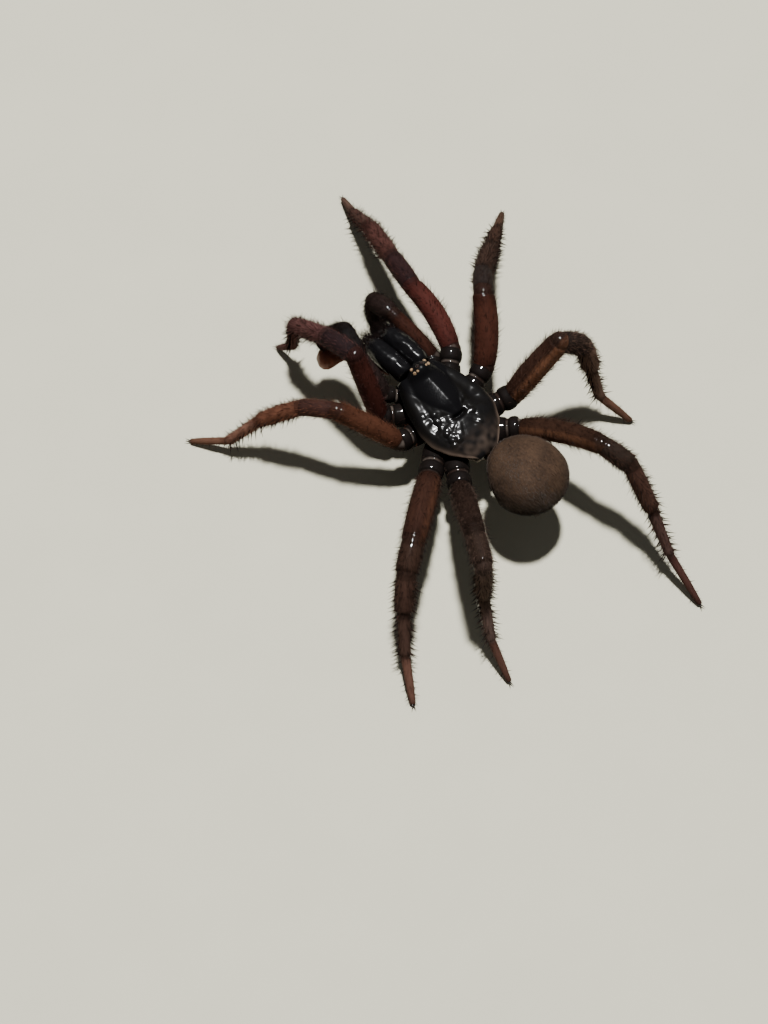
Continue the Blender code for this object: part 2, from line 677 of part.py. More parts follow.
def build_spinneret(side, material, collection):
    """Build one of the two spinning organs below the end of the abdomen."""
    droop = math.radians(SPINNERET_DROOP)
    root = Vector((ABDOMEN_CENTRE[0] + SIDES[side] * SPINNERET_SPREAD, *SPINNERET_ROOT))
    along = Vector((0.0, math.cos(droop), -math.sin(droop)))
    stations = []
    for share, size in SPINNERET_PROFILE:
        stations.append((root + along * SPINNERET_LENGTH * share, SPINNERET_RADIUS * size))
    tube(f"spinneret_{side}", stations, material, collection, THIN_BEVEL_RESOLUTION)


def centre_on_floor(collection):
    """Move every part so that the middle of the footprint is the origin."""
    corners = [vertex.co for part in collection.objects for vertex in part.data.vertices]
    low = [min(corner[axis] for corner in corners) for axis in range(3)]
    high = [max(corner[axis] for corner in corners) for axis in range(3)]
    shift = Vector(((low[0] + high[0]) / -2.0, (low[1] + high[1]) / -2.0, -low[2]))
    for part in collection.objects:
        part.data.transform(Matrix.Translation(shift))


def main():
    """Build the whole spider."""
    clear_scene()
    spider = bpy.data.collections.new("trapdoor_spider")
    bpy.context.scene.collection.children.link(spider)
    shell = make_material(*SHELL_FINISH)
    eye = make_material(*EYE_FINISH)
    fang = make_material(*FANG_FINISH)
    belly = make_material(*ABDOMEN_FINISH)
    stalk = make_material(*STALK_FINISH)
    front_legs = {part: make_material(*finish) for part, finish in FRONT_LEG_FINISHES.items()}
    rear_legs = dict(front_legs)
    for part, finish in REAR_LEG_FINISHES.items():
        rear_legs[part] = make_material(*finish)
    build_carapace(shell, spider)
    build_sternum(front_legs["coxa"], spider)
    build_eye_tubercle(eye, spider)
    build_abdomen(belly, spider)
    build_pedicel(stalk, spider)
    for side in SIDES:
        build_chelicera(side, shell, spider)
        build_fang(side, fang, spider)
        build_palp(side, front_legs, spider)
        build_spinneret(side, belly, spider)
        for number in LEG_SIZES:
            build_leg(side, number, front_legs if number == 1 else rear_legs, spider)
    centre_on_floor(spider)


main()
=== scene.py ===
"""Looks of a life-size trapdoor spider, an adult male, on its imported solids.

The frame is in metres, with the head toward -Y, the animal's left side at +X and
the floor at Z = 0. Sizes here are in millimetres round the middle of the carapace,
as the solids were drawn, and become metres where a mesh is written.
"""

import logging
import math
import random
from dataclasses import dataclass
from enum import Enum

import bpy
import numpy as np
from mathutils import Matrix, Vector, noise

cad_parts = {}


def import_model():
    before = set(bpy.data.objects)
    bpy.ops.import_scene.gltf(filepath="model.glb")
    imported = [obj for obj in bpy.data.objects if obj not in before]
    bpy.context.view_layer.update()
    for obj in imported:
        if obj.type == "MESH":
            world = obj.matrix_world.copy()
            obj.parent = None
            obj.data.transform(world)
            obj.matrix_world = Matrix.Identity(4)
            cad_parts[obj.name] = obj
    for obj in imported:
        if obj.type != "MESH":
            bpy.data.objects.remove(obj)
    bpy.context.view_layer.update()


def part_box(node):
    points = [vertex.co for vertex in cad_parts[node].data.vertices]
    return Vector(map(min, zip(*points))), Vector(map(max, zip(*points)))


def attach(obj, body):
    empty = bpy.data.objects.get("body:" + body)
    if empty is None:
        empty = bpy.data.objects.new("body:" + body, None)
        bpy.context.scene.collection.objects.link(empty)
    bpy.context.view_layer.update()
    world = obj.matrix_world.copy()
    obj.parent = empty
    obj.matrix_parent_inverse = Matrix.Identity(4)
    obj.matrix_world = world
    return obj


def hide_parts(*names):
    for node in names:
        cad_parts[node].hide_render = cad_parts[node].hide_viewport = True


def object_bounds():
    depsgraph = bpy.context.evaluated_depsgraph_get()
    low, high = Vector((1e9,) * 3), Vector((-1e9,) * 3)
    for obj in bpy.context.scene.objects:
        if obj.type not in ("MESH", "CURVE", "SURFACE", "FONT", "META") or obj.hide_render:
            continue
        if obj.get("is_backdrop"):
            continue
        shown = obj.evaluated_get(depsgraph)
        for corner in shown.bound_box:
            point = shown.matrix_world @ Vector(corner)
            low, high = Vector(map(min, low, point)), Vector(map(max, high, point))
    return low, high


LOG = logging.getLogger("spider")
MM = 0.001
BODY = "root"
FULL_TURN = 2.0 * math.pi
HAIR_ROOM = 1.025
UP =np.array((0.0, 0.0, 1.0))
LEVEL = np.array((1.0, 1.0, 0.0))
ACROSS = np.array((1.0, 0.0, 0.0))
Points = tuple[tuple[float, float], ...]
Place = tuple[float, float, float]
Colour = tuple[float, float, float]
Thing = bpy.types.Object
Look = bpy.types.Material


class Side(Enum):
    """A side of the animal, with the sign of its X."""

    LEFT = 1.0
    RIGHT = -1.0

    @property
    def label(self) -> str:
        """Name of the side as the solids spell it."""
        return self.name.lower()

    def place(self, spot: Place) -> np.ndarray:
        """Turn a place given for the left side into that of this side."""
        return vec(spot[0] * self.value, *spot[1:])


class Kind(Enum):
    """The stiff parts of a limb, from the body outward, by their place in it."""

    COXA = 0
    TROCHANTER = 1
    FEMUR = 2
    PATELLA = 3
    TIBIA = 4
    METATARSUS = 5
    TARSUS = 6


LIMB_PARTS = float(len(Kind))


# Numbers and directions


def vec(*values: float) -> np.ndarray:
    """Make a vector."""
    return np.array(values, float)


def unit(vector: np.ndarray) -> np.ndarray:
    """Scale vectors, one or a row of them, to length one."""
    return vector / np.maximum(np.linalg.norm(vector, axis=-1, keepdims=True), 1e-9)


def around(count: int) -> np.ndarray:
    """Spread angles evenly round a circle."""
    return np.linspace(0.0, FULL_TURN, count, endpoint=False)


def read(stations: Points, share: np.ndarray, blur: float = 0.05) -> np.ndarray:
    """Read a smooth curve through a few stations.

    Args:
        stations: Pairs of share and value, in order of share.
        share: Where to read, from 0 to 1.
        blur: Width of the smoothing, as a share of the whole.

    Returns:
        The values there.
    """
    places, values = zip(*stations)
    offsets = np.linspace(-blur, blur, 9)
    return sum(np.interp(share + offset, places, values) for offset in offsets) / len(offsets)


def path(stops: np.ndarray, share: np.ndarray, blur: float) -> np.ndarray:
    """Read a smooth path through stops that are spread evenly along it.

    Args:
        stops: Places, as rows.
        share: Where to read, from 0 to 1.
        blur: Width of the smoothing.

    Returns:
        Places on the path, as rows.
    """
    knots = np.linspace(0.0, 1.0, len(stops))
    return np.stack([read(tuple(zip(knots, line)), share, blur) for line in stops.T], axis=1)


def ease(low: float, high: float, value: np.ndarray) -> np.ndarray:
    """Rise smoothly from 0 at the low value to 1 at the high one."""
    part = np.clip((value - low) / (high - low), 0.0, 1.0)
    return part * part * (3.0 - 2.0 * part)


def hump(centre: float, width: float, value: np.ndarray) -> np.ndarray:
    """Give a bell of height one round a centre."""
    return np.exp(-(((value - centre) / width) ** 2))


def domed(lack: np.ndarray, least: float = 0.0, power: float = 2.0) -> np.ndarray:
    """Round an end off, by how much of its cap still lies before a place."""
    return np.sqrt(np.clip(1.0 - np.maximum(lack, 0.0) ** power, least, 1.0))


def heading(turn: float, lift: float, side: Side) -> np.ndarray:
    """Turn two angles in degrees into the direction of a leg part.

    Args:
        turn: Angle from straight sideways toward the head.
        lift: Angle from level upward.
        side: Side of the animal.

    Returns:
        A vector of length one.
    """
    turn, lift = math.radians(turn), math.radians(lift)
    level = math.cos(lift)
    return vec(side.value * math.cos(turn) * level, -math.sin(turn) * level, math.sin(lift))


def shaded(colour: Colour, share: float) -> Colour:
    """Darken or brighten a colour by a share."""
    return tuple(channel * share for channel in colour)


def grains(points: np.ndarray, size: float) -> np.ndarray:
    """Give round grains of a size in mm: 1 on their tops, 0 between them."""
    near = np.array([noise.voronoi(Vector(point))[0][0] for point in points / size])
    return np.clip(1.0 - (near / 0.62) ** 2, 0.0, 1.0)


def clouds(points: np.ndarray, size: float, seed: float = 0.0) -> np.ndarray:
    """Give soft noise of a size in mm, from about -1 to 1."""
    shift = Vector((seed, seed * 0.7, seed * 1.9))
    return np.array([noise.noise(Vector(point) + shift) for point in points / size])


# Rings and meshes


def sections(x: np.ndarray, y: np.ndarray, z: np.ndarray | float) -> np.ndarray:
    """Make rings that stand across the body, from rows of X and Z at each Y."""
    return np.stack(np.broadcast_arrays(x, y[:, None], z), axis=2)


def tube(centres: np.ndarray, radii: np.ndarray, across: np.ndarray, back: np.ndarray,
         count: int) -> np.ndarray:
    """Make rings round an axis.

    Args:
        centres: Middle of each ring.
        radii: Radius of each ring.
        across: Way to the first point, one for all rings or one for each.
        back: Way to the top, likewise.
        count: Points in a ring.

    Returns:
        The rings.
    """
    turn = around(count)[:, None]
    spokes = np.cos(turn) * across[..., None, :] + np.sin(turn) * back[..., None, :]
    return centres[:, None, :] + radii[:, None, None] * spokes


def hose(centres: np.ndarray, radii: np.ndarray, count: int) -> np.ndarray:
    """Make rings round a path that bends up and down."""
    return tube(centres, radii, ACROSS, np.cross(ACROSS, unit(np.gradient(centres, axis=0))), count)


def globe(cut: float, rows: int, count: int) -> np.ndarray:
    """Make rings of a ball of radius one from its front to its rear.

    Args:
        cut: Angle of the first ring from the pole.
        rows: Number of rings.
        count: Points in a ring.

    Returns:
        The rings.
    """
    polar, turn = np.linspace(cut, math.pi - cut, rows), around(count)
    size = np.sin(polar)
    return sections(np.outer(size, np.cos(turn)), -np.cos(polar), np.outer(size, np.sin(turn)))


def ball(centre: np.ndarray, radius: float, rows: int, count: int) -> np.ndarray:
    """Make rings of a round ball from its top to its bottom."""
    return centre + (globe(0.12, rows, count) * vec(1.0, -1.0, 1.0))[..., [0, 2, 1]] * radius


def closed(*lofts: np.ndarray) -> tuple[np.ndarray, list]:
    """Join lofts of rings, with a fan over each end.

    Args:
        lofts: Rows of rings of places.

    Returns:
        The points, with the two middles of the ends after each loft's rings, and the faces.
    """
    points, faces, start = [], [], 0
    for rings in lofts:
        rows, count = rings.shape[:2]
        points += [rings.reshape(-1, 3), rings[[0, -1]].mean(axis=1)]
        end = start + rows * count
        pairs = [(i, (i + 1) % count) for i in range(count)]
        for a in range(start, end - count, count):
            faces += [(a + i, a + j, a + count + j, a + count + i) for i, j in pairs]
        for i, j in pairs:
            faces += [(start + j, start + i, end), (end - count + i, end - count + j, end + 1)]
        start = end + 2
    return np.concatenate(points), faces


def on_rings(shares: np.ndarray, count: int) -> tuple[np.ndarray, np.ndarray]:
    """Give the share and the angle of each point of a closed loft."""
    return (np.concatenate((np.repeat(shares, count), (0.0, 1.0))),
            np.concatenate((np.tile(around(count), len(shares)), (0.0, 0.0))))


def flat_map(across: np.ndarray, up: np.ndarray) -> np.ndarray:
    """Pair places on a flat map, as vectors."""
    return np.stack((across, up, np.zeros(len(up))), axis=1)


def link(name: str, data: bpy.types.ID) -> Thing:
    """Make an object of its data and put it into the scene."""
    made = bpy.data.objects.new(name, data)
    bpy.context.scene.collection.objects.link(made)
    return made


def evaluated(source: Thing) -> Thing:
    """Turn an object with its modifiers into a plain smooth one of its name.

    Args:
        source: Object with live modifiers, which goes.

    Returns:
        The plain object.
    """
    bpy.context.view_layer.update()
    graph = bpy.context.evaluated_depsgraph_get()
    mesh, name = bpy.data.meshes.new_from_object(source.evaluated_get(graph)), source.name
    bpy.data.objects.remove(source, do_unlink=True)
    mesh.name = name
    mesh.shade_smooth()
    return link(name, mesh)


def rows_of(items: bpy.types.bpy_prop_collection, name: str, kind: type = float) -> np.ndarray:
    """Read three numbers of each vertex, normal or triangle of a mesh."""
    flat = np.zeros(len(items) * 3, kind)
    items.foreach_get(name, flat)
    return flat.reshape(-1, 3)


def corners_of(mesh: bpy.types.Mesh) -> np.ndarray:
    """Read the vertices of a mesh as rows, in metres."""
    return rows_of(mesh.vertices, "co")


def normals_of(mesh: bpy.types.Mesh) -> np.ndarray:
    """Read the vertex normals of a mesh as rows."""
    return rows_of(mesh.vertex_normals, "vector")


def volume_of(mesh: bpy.types.Mesh) -> float:
    """Measure a closed mesh, below zero where its faces point inward."""
    mesh.calc_loop_triangles()
    a, b, c = corners_of(mesh)[rows_of(mesh.loop_triangles, "vertices", int)].transpose(1, 0, 2)
    return float(np.einsum("ij,ij->i", a, np.cross(b, c)).sum())


def move(mesh: bpy.types.Mesh, corners: np.ndarray) -> None:
    """Write the vertices of a mesh, in metres."""
    mesh.vertices.foreach_set("co", corners.ravel())
    mesh.update()


def push(mesh: bpy.types.Mesh, heights: np.ndarray) -> None:
    """Move the vertices of a mesh along their normals, by heights in mm."""
    move(mesh, corners_of(mesh) + normals_of(mesh) * heights[:, None] * MM)


def store(mesh: bpy.types.Mesh, **values: np.ndarray | float) -> None:
    """Write numbers or vectors to the vertices of a mesh.

    Args:
        mesh: The mesh.
        values: What each vertex gets, or one value for all, by name.
    """
    for name, value in values.items():
        vectors = np.shape(value)[-1:] == (3,)
        layer = mesh.attributes.new(name, "FLOAT_VECTOR" if vectors else "FLOAT", "POINT")
        rows = np.broadcast_to(np.asarray(value, float), (len(mesh.vertices), 3)[:1 + vectors])
        layer.data.foreach_set("vector" if vectors else "value", rows.ravel())


# Nodes written as expressions


class Signal:
    """A number, colour or vector that a node puts out, with sums for numbers."""

    def __init__(self, nodes: "NodeMaker", socket: bpy.types.NodeSocket) -> None:
        """Keep the maker and the socket."""
        self.nodes, self.socket = nodes, socket

    def other(self, name: str) -> "Signal":
        """Give another output of the same node."""
        return Signal(self.nodes, self.socket.node.outputs[name])

    def _sum(self, operation: str, first: object, second: object) -> "Signal":
        """Add a Math node for one operation on two values."""
        return self.nodes.make("ShaderNodeMath", {0: first, 1: second}, operation=operation)

    def __add__(self, other: object) -> "Signal":
        """Add."""
        return self._sum("ADD", self, other)

    __radd__ = __add__

    def __sub__(self, other: object) -> "Signal":
        """Subtract."""
        return self._sum("SUBTRACT", self, other)

    def __rsub__(self, other: object) -> "Signal":
        """Subtract from a number."""
        return self._sum("SUBTRACT", other, self)

    def __mul__(self, other: object) -> "Signal":
        """Multiply."""
        return self._sum("MULTIPLY", self, other)

    def __truediv__(self, other: object) -> "Signal":
        """Divide."""
        return self._sum("DIVIDE", self, other)

    def between(self, low: float, high: float) -> "Signal":
        """Rise smoothly from 0 at the low value to 1 at the high one."""
        return self.nodes.make("ShaderNodeMapRange", {0: self, 1: low, 2: high, 3: 0.0, 4: 1.0},
                               interpolation_type="SMOOTHSTEP")


class NodeMaker:
    """Makes and links the nodes of one tree."""

    def __init__(self, tree: bpy.types.NodeTree) -> None:
        """Keep the tree."""
        self.tree = tree

    def make(self, kind: str, inputs: dict | None = None, output: int | str = 0,
             **settings: object) -> Signal:
        """Add one node.

        Args:
            kind: Type of the node.
            inputs: Values or signals by socket name or place.
            output: Socket to give back.
            settings: Properties of the node.

        Returns:
            The signal of that output.
        """
        node = self.tree.nodes.new(kind)
        for name, value in settings.items():
            setattr(node, name, value)
        for key, value in (inputs or {}).items():
            if isinstance(value, Signal):
                self.tree.links.new(value.socket, node.inputs[key])
            else:
                node.inputs[key].default_value = value
        return Signal(self, node.outputs[output])

    def vector(self, operation: str, *values: object, **more: object) -> Signal:
        """Work on vectors, with further inputs by their names."""
        return self.make("ShaderNodeVectorMath", {**dict(enumerate(values)), **more}, operation=operation)

    def pack(self, *values: object) -> Signal:
        """Make a vector of numbers, with zeros after them."""
        return self.make("ShaderNodeCombineXYZ", dict(enumerate(values)))

    def named(self, name: str, output: str = "Fac") -> Signal:
        """Give what the mesh carries under a name."""
        return self.make("ShaderNodeAttribute", output=output, attribute_name=name)

    def _scaled(self, size: float, **more: object) -> dict[str, object]:
        """List inputs for a texture of a size in mm on the object."""
        where = self.make("ShaderNodeTexCoord", output="Object")
        return {"Vector": where, "Scale": 1.0 / (size * MM), **more}

    def cloud(self, size: float, detail: float = 3.0) -> Signal:
        """Give noise whose features are a size in mm."""
        return self.make("ShaderNodeTexNoise", self._scaled(size, Detail=detail, Roughness=0.55))

    def cells(self, size: float) -> Signal:
        """Give the distance to the nearest of points a size in mm apart."""
        return self.make("ShaderNodeTexVoronoi", self._scaled(size), feature="F1")

    def mix(self, share: object, first: object, second: object, blend: str = "MIX") -> Signal:
        """Mix two colours by a share, or blend them in another way.

        Args:
            share: How much of the second.
            first: A colour or a signal.
            second: A colour or a signal.
            blend: Way of blending.

        Returns:
            The colour.
        """
        first, second = (one if isinstance(one, Signal) else (*one, 1.0) for one in (first, second))
        inputs = {0: share, 6: first, 7: second}
        return self.make("ShaderNodeMix", inputs, 2, data_type="RGBA", blend_type=blend)

    def tint(self, colour: object, value: Signal) -> Signal:
        """Darken or brighten a colour by a number."""
        return self.mix(1.0, colour, value, "MULTIPLY")

    def ramp(self, value: Signal, stops: list) -> Signal:
        """Read a colour along a number.

        Args:
            value: The number.
            stops: Pairs of number and colour.

        Returns:
            The colour.
        """
        made = self.make("ShaderNodeValToRGB", {0: value})
        elements = made.socket.node.color_ramp.elements
        elements.remove(elements[-1])
        for index, (place, colour) in enumerate(stops):
            stop = elements.new(place) if index else elements[0]
            stop.position = place
            stop.color = (*colour, 1.0)
        return made

    def bump(self, height: Signal, depth: float) -> Signal:
        """Turn a height into a normal, with its depth in mm."""
        return self.make("ShaderNodeBump", {"Height": height, "Distance": depth * MM, "Strength": 1.0})


@dataclass(frozen=True)
class Finish:
    """What every finish has: a name and the gloss that is alike all over."""

    name: str
    specular: float = 0.5
    coat: float = 0.0
    coat_rough: float = 0.07
    sheen: float = 0.0

    def paint(self, nodes: NodeMaker) -> dict[str, Signal]:
        """Give what changes over the surface, by socket of the shader."""
        raise NotImplementedError

    def build(self) -> Look:
        """Make the material.

        Returns:
            The material of this finish.
        """
        material = bpy.data.materials.new(self.name)
        material.use_nodes = True
        tree = material.node_tree
        shader = tree.nodes["Principled BSDF"]
        values = {"Specular IOR Level": self.specular, "Coat Weight": self.coat,
                  "Coat Roughness": self.coat_rough, "Coat IOR": 1.4,
                  "Sheen Weight": self.sheen, "Sheen Roughness": 0.4}
        for socket, value in values.items():
            shader.inputs[socket].default_value = value
        for socket, signal in self.paint(NodeMaker(tree)).items():
            tree.links.new(signal.socket, shader.inputs[socket])
        return material


@dataclass(frozen=True)
class ShellFinish(Finish):
    """Black horny plate: polished, with fine grain, paler at its rim."""

    deep: Colour = (0.0038, 0.0036, 0.004)
    warm: Colour = (0.0036, 0.003, 0.0026)
    rim: Colour = (0.08, 0.056, 0.042)
    polish: float = 0.2
    wet: float = 1.0

    def paint(self, nodes: NodeMaker) -> dict[str, Signal]:
        """Mottle the plate, and make it rougher where it is rugose.

        Args:
            nodes: Maker of the material's nodes.

        Returns:
            Signals by socket of the shader.
        """
        rugose = nodes.named("rugose")
        mottle = nodes.cloud(0.5).between(0.4, 0.65)
        colour = nodes.mix((mottle * 0.5 + 0.5) * rugose, self.deep, self.warm)
        wet = nodes.named("up").between(0.8, 0.97) * (1.0 - nodes.named("dull")) * self.wet
        return {"Base Color": nodes.mix(nodes.named("rim"), colour, self.rim),
                "Roughness": self.polish + nodes.cloud(0.2) * 0.12 + rugose * 0.42,
                "Normal": nodes.bump(nodes.cloud(0.12), 0.008), "Coat Weight": wet}


DARK_COXA = (0.006, 0.0045, 0.004)
MEMBRANE = (0.07, 0.057, 0.048)
CREASE = (0.016, 0.01, 0.008)
LIMB_GLOSS = ((0.0, 1.0), (1.96, 1.0), (2.1, 0.0), (2.9, 0.0), (3.05, 1.0), (3.5, 0.6), (3.9, 0.04),
              (5.0, 0.02))


@dataclass(frozen=True)
class LimbColours:
    """Colours of a limb's parts, those of the femur for its back and its underside."""

    femur: Colour
    femur_under: Colour
    patella: Colour
    tibia: Colour
    metatarsus: Colour
    tarsus: Colour

    def stops(self, femur: Colour) -> list:
        """List ramp stops along the limb, darker where a part ends.

        Args:
            femur: Colour of the femur on this side of the limb.

        Returns:
            Pairs of place and colour.
        """
        stops = []
        colours = (DARK_COXA, DARK_COXA, femur, self.patella, self.tibia, self.metatarsus, self.tarsus)
        for index, colour in enumerate(colours):
            dark = shaded(colour, 0.6)
            for share, shade in ((0.04, dark), (0.22, colour), (0.8, colour), (0.97, dark)):
                stops.append(((index + share) / LIMB_PARTS, shade))
        return stops


@dataclass(frozen=True, kw_only=True)
class LimbFinish(Finish):
    """Horny limb: polished parts of several colours with soft joint skin."""

    colours: LimbColours
    pale_side: float

    def paint(self, nodes: NodeMaker) -> dict[str, Signal]:
        """Colour the limb by its parts and its back, with joints and grain.

        Args:
            nodes: Maker of the material's nodes.

        Returns:
            Signals by socket of the shader.
        """
        along, colours = nodes.named("along"), self.colours
        streak = nodes.make("ShaderNodeTexNoise", {
            "Vector": nodes.named("unwrap", "Vector"), "Scale": 22.0, "Detail": 3.0})
        turned = nodes.named("back") - nodes.named("side") * self.pale_side + (streak - 0.5) * 1.4
        femurs = (colours.femur_under, colours.femur)
        under, back = (nodes.ramp(along, colours.stops(femur)) for femur in femurs)
        colour = nodes.mix(turned.between(-0.75, 0.45), under, back)
        colour = nodes.tint(colour, 0.55 + nodes.cloud(0.6) * 0.5 + streak * 0.5)
        pale = nodes.named("pale") * nodes.cloud(1.8).between(0.46, 0.62)
        colour = nodes.mix(nodes.named("joint"), colour, nodes.mix(pale, CREASE, MEMBRANE))
        gloss = nodes.ramp(along, [(part / LIMB_PARTS, (wet, wet, wet)) for part, wet in LIMB_GLOSS])
        sockets = 1.0 - nodes.cells(0.16).between(0.0, 0.3)
        return {"Base Color": colour, "Roughness": 0.55 + nodes.cloud(0.2) * 0.16,
                "Normal": nodes.bump(nodes.cloud(0.14) * 0.7 + sockets * 0.3, 0.016),
                "Coat Weight": nodes.named("up").between(0.82, 0.97) * gloss}


@dataclass(frozen=True)
class VelvetFinish(Finish):
    """Dull soft skin of the abdomen, or the hair on it."""

    light: Colour = (0.047, 0.0265, 0.015)
    dark: Colour = (0.02, 0.0112, 0.0066)
    depth: float = 0.05

    def paint(self, nodes: NodeMaker) -> dict[str, Signal]:
        """Mottle the velvet softly, alike on skin and hair, with painted shade: darker on the flanks and
        underside, lighter on top.

        Args:
            nodes: Maker of the material's nodes.

        Returns:
            Signals by socket of the shader.
        """
        patch = nodes.cloud(1.5, 2.0).between(0.35, 0.68)
        speck = nodes.cloud(0.16).between(0.3, 0.75)
        colour = nodes.mix(patch * 0.45 + speck * 0.5, self.dark, self.light)
        # Painted shade: the colour darkens where the surface turns sideways or down and brightens where it
        # faces up.
        colour = nodes.tint(colour, 0.45 + nodes.named("up").between(-0.3, 0.85) * 0.75)
        height = nodes.cloud(0.12, 4.0) + nodes.cloud(0.4) * 0.8
        return {"Base Color": colour, "Roughness": 0.72 + nodes.cloud(0.3) * 0.2,
                "Normal": nodes.bump(height, self.depth)}


@dataclass(frozen=True, kw_only=True)
class PatchyFinish(Finish):
    """Two colours in cloudy patches, with an even relief."""

    dark: Colour
    light: Colour
    patch: float = 0.35
    detail: float = 3.0
    edges: tuple[float, float] = (0.35, 0.7)
    rough: tuple[float, float, float] = (0.4, 0.2, 0.2)
    depth: float = 0.0

    def paint(self, nodes: NodeMaker) -> dict[str, Signal]:
        """Mix both colours by one cloud, which is the relief too.

        Args:
            nodes: Maker of the material's nodes.

        Returns:
            Signals by socket of the shader.
        """
        cloud = nodes.cloud(self.patch, self.detail)
        least, size, rise = self.rough
        painted = {"Base Color": nodes.mix(cloud.between(*self.edges), self.dark, self.light),
                   "Roughness": least + nodes.cloud(size) * rise}
        if self.depth:
            painted["Normal"] = nodes.bump(cloud, self.depth)
        return painted


@dataclass(frozen=True, kw_only=True)
class HairFinish(PatchyFinish):
    """Stiff hair or spine, darker and lighter from one to the next."""

    specular: float = 0.0


@dataclass(frozen=True, kw_only=True)
class SoftFinish(PatchyFinish):
    """Folded soft skin between plates."""

    detail: float = 4.0
    edges: tuple[float, float] = (0.42, 0.62)
    depth: float = 0.06


@dataclass(frozen=True, kw_only=True)
class LensFinish(PatchyFinish):
    """Clear eye lens over a dark or a pale ground."""

    coat: float = 1.0
    patch: float = 0.1
    edges: tuple[float, float] = (0.4, 0.6)
    rough: tuple[float, float, float] = (0.03, 0.08, 0.04)


@dataclass(frozen=True)
class GlossFinish(Finish):
    """Polished horn, as of a fang, a claw or the bulb of a palp."""

    root: Colour = (0.01, 0.006, 0.005)
    tip: Colour = (0.05, 0.014, 0.008)

    def paint(self, nodes: NodeMaker) -> dict[str, Signal]:
        """Shade the horn from its root to its tip."""
        share = nodes.named("along") + (nodes.cloud(0.25) - 0.5) * 0.4
        return {"Base Color": nodes.mix(share.between(0.0, 1.0), self.root, self.tip),
                "Roughness": 0.14 + nodes.cloud(0.15) * 0.12, "Normal": nodes.bump(nodes.cloud(0.1), 0.008)}


@dataclass(frozen=True)
class FloorFinish(Finish):
    """Plain pale board with the faintest unevenness."""

    colour: Colour = (0.5, 0.48, 0.365)

    def paint(self, nodes: NodeMaker) -> dict[str, Signal]:
        """Vary the board hardly at all."""
        return {"Base Color": nodes.tint(self.colour, 0.96 + nodes.cloud(9.0, 2.0) * 0.08),
                "Roughness": 0.6 + nodes.cloud(3.0) * 0.15}


# Coats of hair and rows of spines


class SpikeTree:
    """Geometry Nodes that plant bent cones on points and give them one finish.

    Each kind of tree has its title, the sides and steps of its cones, and the
    names of its inputs. Spare values that its ground carried go from the result.
    """

    TITLE = ""
    SIDES = 3
    STEPS = 3
    INPUTS = ("Geometry", "Thickness", "Bend", "Finish")
    SOCKETS = {"Geometry": "Geometry", "Seed": "Int", "Finish": "Material"}
    PATCH = 0.003
    SPARE = ("coat", "length", "flow", "unwrap", "tuft", "along", "back", "side", "joint", "pale",
             "aim", "lie", "size")

    def __init__(self) -> None:
        """Build the tree once for all its uses."""
        self.tree = bpy.data.node_groups.new(self.TITLE, "GeometryNodeTree")
        self.nodes = NodeMaker(self.tree)
        for name in self.INPUTS:
            kind = "NodeSocket" + self.SOCKETS.get(name, "Float")
            self.tree.interface.new_socket(name, in_out="INPUT", socket_type=kind)
        self.tree.interface.new_socket("Geometry", in_out="OUTPUT", socket_type="NodeSocketGeometry")
        entry = self.tree.nodes.new("NodeGroupInput")
        self.given = {name: Signal(self.nodes, entry.outputs[name]) for name in self.INPUTS}
        dressed = self.nodes.make("GeometryNodeSetMaterial", {
            "Geometry": self.spikes(), "Material": self.given["Finish"]})
        leave = self.tree.nodes.new("NodeGroupOutput")
        self.tree.links.new(dressed.socket, leave.inputs["Geometry"])

    def spikes(self) -> Signal:
        """Plant the spikes as a solid mesh."""
        raise NotImplementedError

    def carried(self, name: str, kind: str = "FLOAT_VECTOR") -> Signal:
        """Read a value that the ground carries."""
        return self.nodes.make("GeometryNodeInputNamedAttribute", {"Name": name}, data_type=kind)

    def _spike(self) -> Signal:
        """Make a spike a unit long, bent along X, that carries its own small flat map.

        Returns:
            The spike as a mesh.
        """
        nodes, given = self.nodes, self.given
        cone = nodes.make("GeometryNodeMeshCone", {
            "Vertices": self.SIDES, "Side Segments": self.STEPS, "Radius Top": 0.0,
            "Radius Bottom": given["Thickness"], "Depth": 1.0}, fill_type="NONE")
        height = nodes.make("ShaderNodeSeparateXYZ", {0: nodes.make("GeometryNodeInputPosition")}, 2)
        tuft = nodes.pack(height.other("X") / given["Thickness"] * (self.PATCH / 2.0), height * self.PATCH)
        mapped = nodes.make("GeometryNodeStoreNamedAttribute", {
            "Geometry": cone, "Name": "tuft", "Value": tuft}, data_type="FLOAT_VECTOR", domain="POINT")
        away = nodes.pack(height * height * given["Bend"])
        return nodes.make("GeometryNodeSetPosition", {"Geometry": mapped, "Offset": away})

    def planted(self, points: Signal, aim: Signal, lie: Signal, size: Signal) -> Signal:
        """Plant a spike on each point.

        Args:
            points: The roots.
            aim: Way of the spike.
            lie: Way that its X turns to.
            size: Its length.

        Returns:
            The spikes as a solid mesh.
        """
        turned = self.nodes.make("FunctionNodeAlignRotationToVector", {"Vector": aim}, axis="Z")
        turned = self.nodes.make("FunctionNodeAlignRotationToVector", {"Rotation": turned, "Vector": lie},
                                 axis="X", pivot_axis="Z")
        placed = self.nodes.make("GeometryNodeInstanceOnPoints", {
            "Points": points, "Instance": self._spike(), "Rotation": turned,
            "Scale": self.nodes.pack(size, size, size)})
        return self.nodes.make("GeometryNodeRealizeInstances", {"Geometry": placed})

    def apply(self, ground: Thing, values: dict[str, object]) -> Thing:
        """Run the tree on an object.

        Args:
            ground: Object that carries the values, which goes.
            values: The tree's inputs by name.

        Returns:
            The spikes as a plain mesh object.
        """
        modifier = ground.modifiers.new(self.TITLE, "NODES")
        modifier.node_group = self.tree
        for item in self.tree.interface.items_tree:
            if item.in_out == "INPUT" and item.name in values:
                modifier[item.identifier] = values[item.name]
        made = evaluated(ground)
        for name in self.SPARE:
            if name in made.data.attributes:
                made.data.attributes.remove(made.data.attributes[name])
        return made


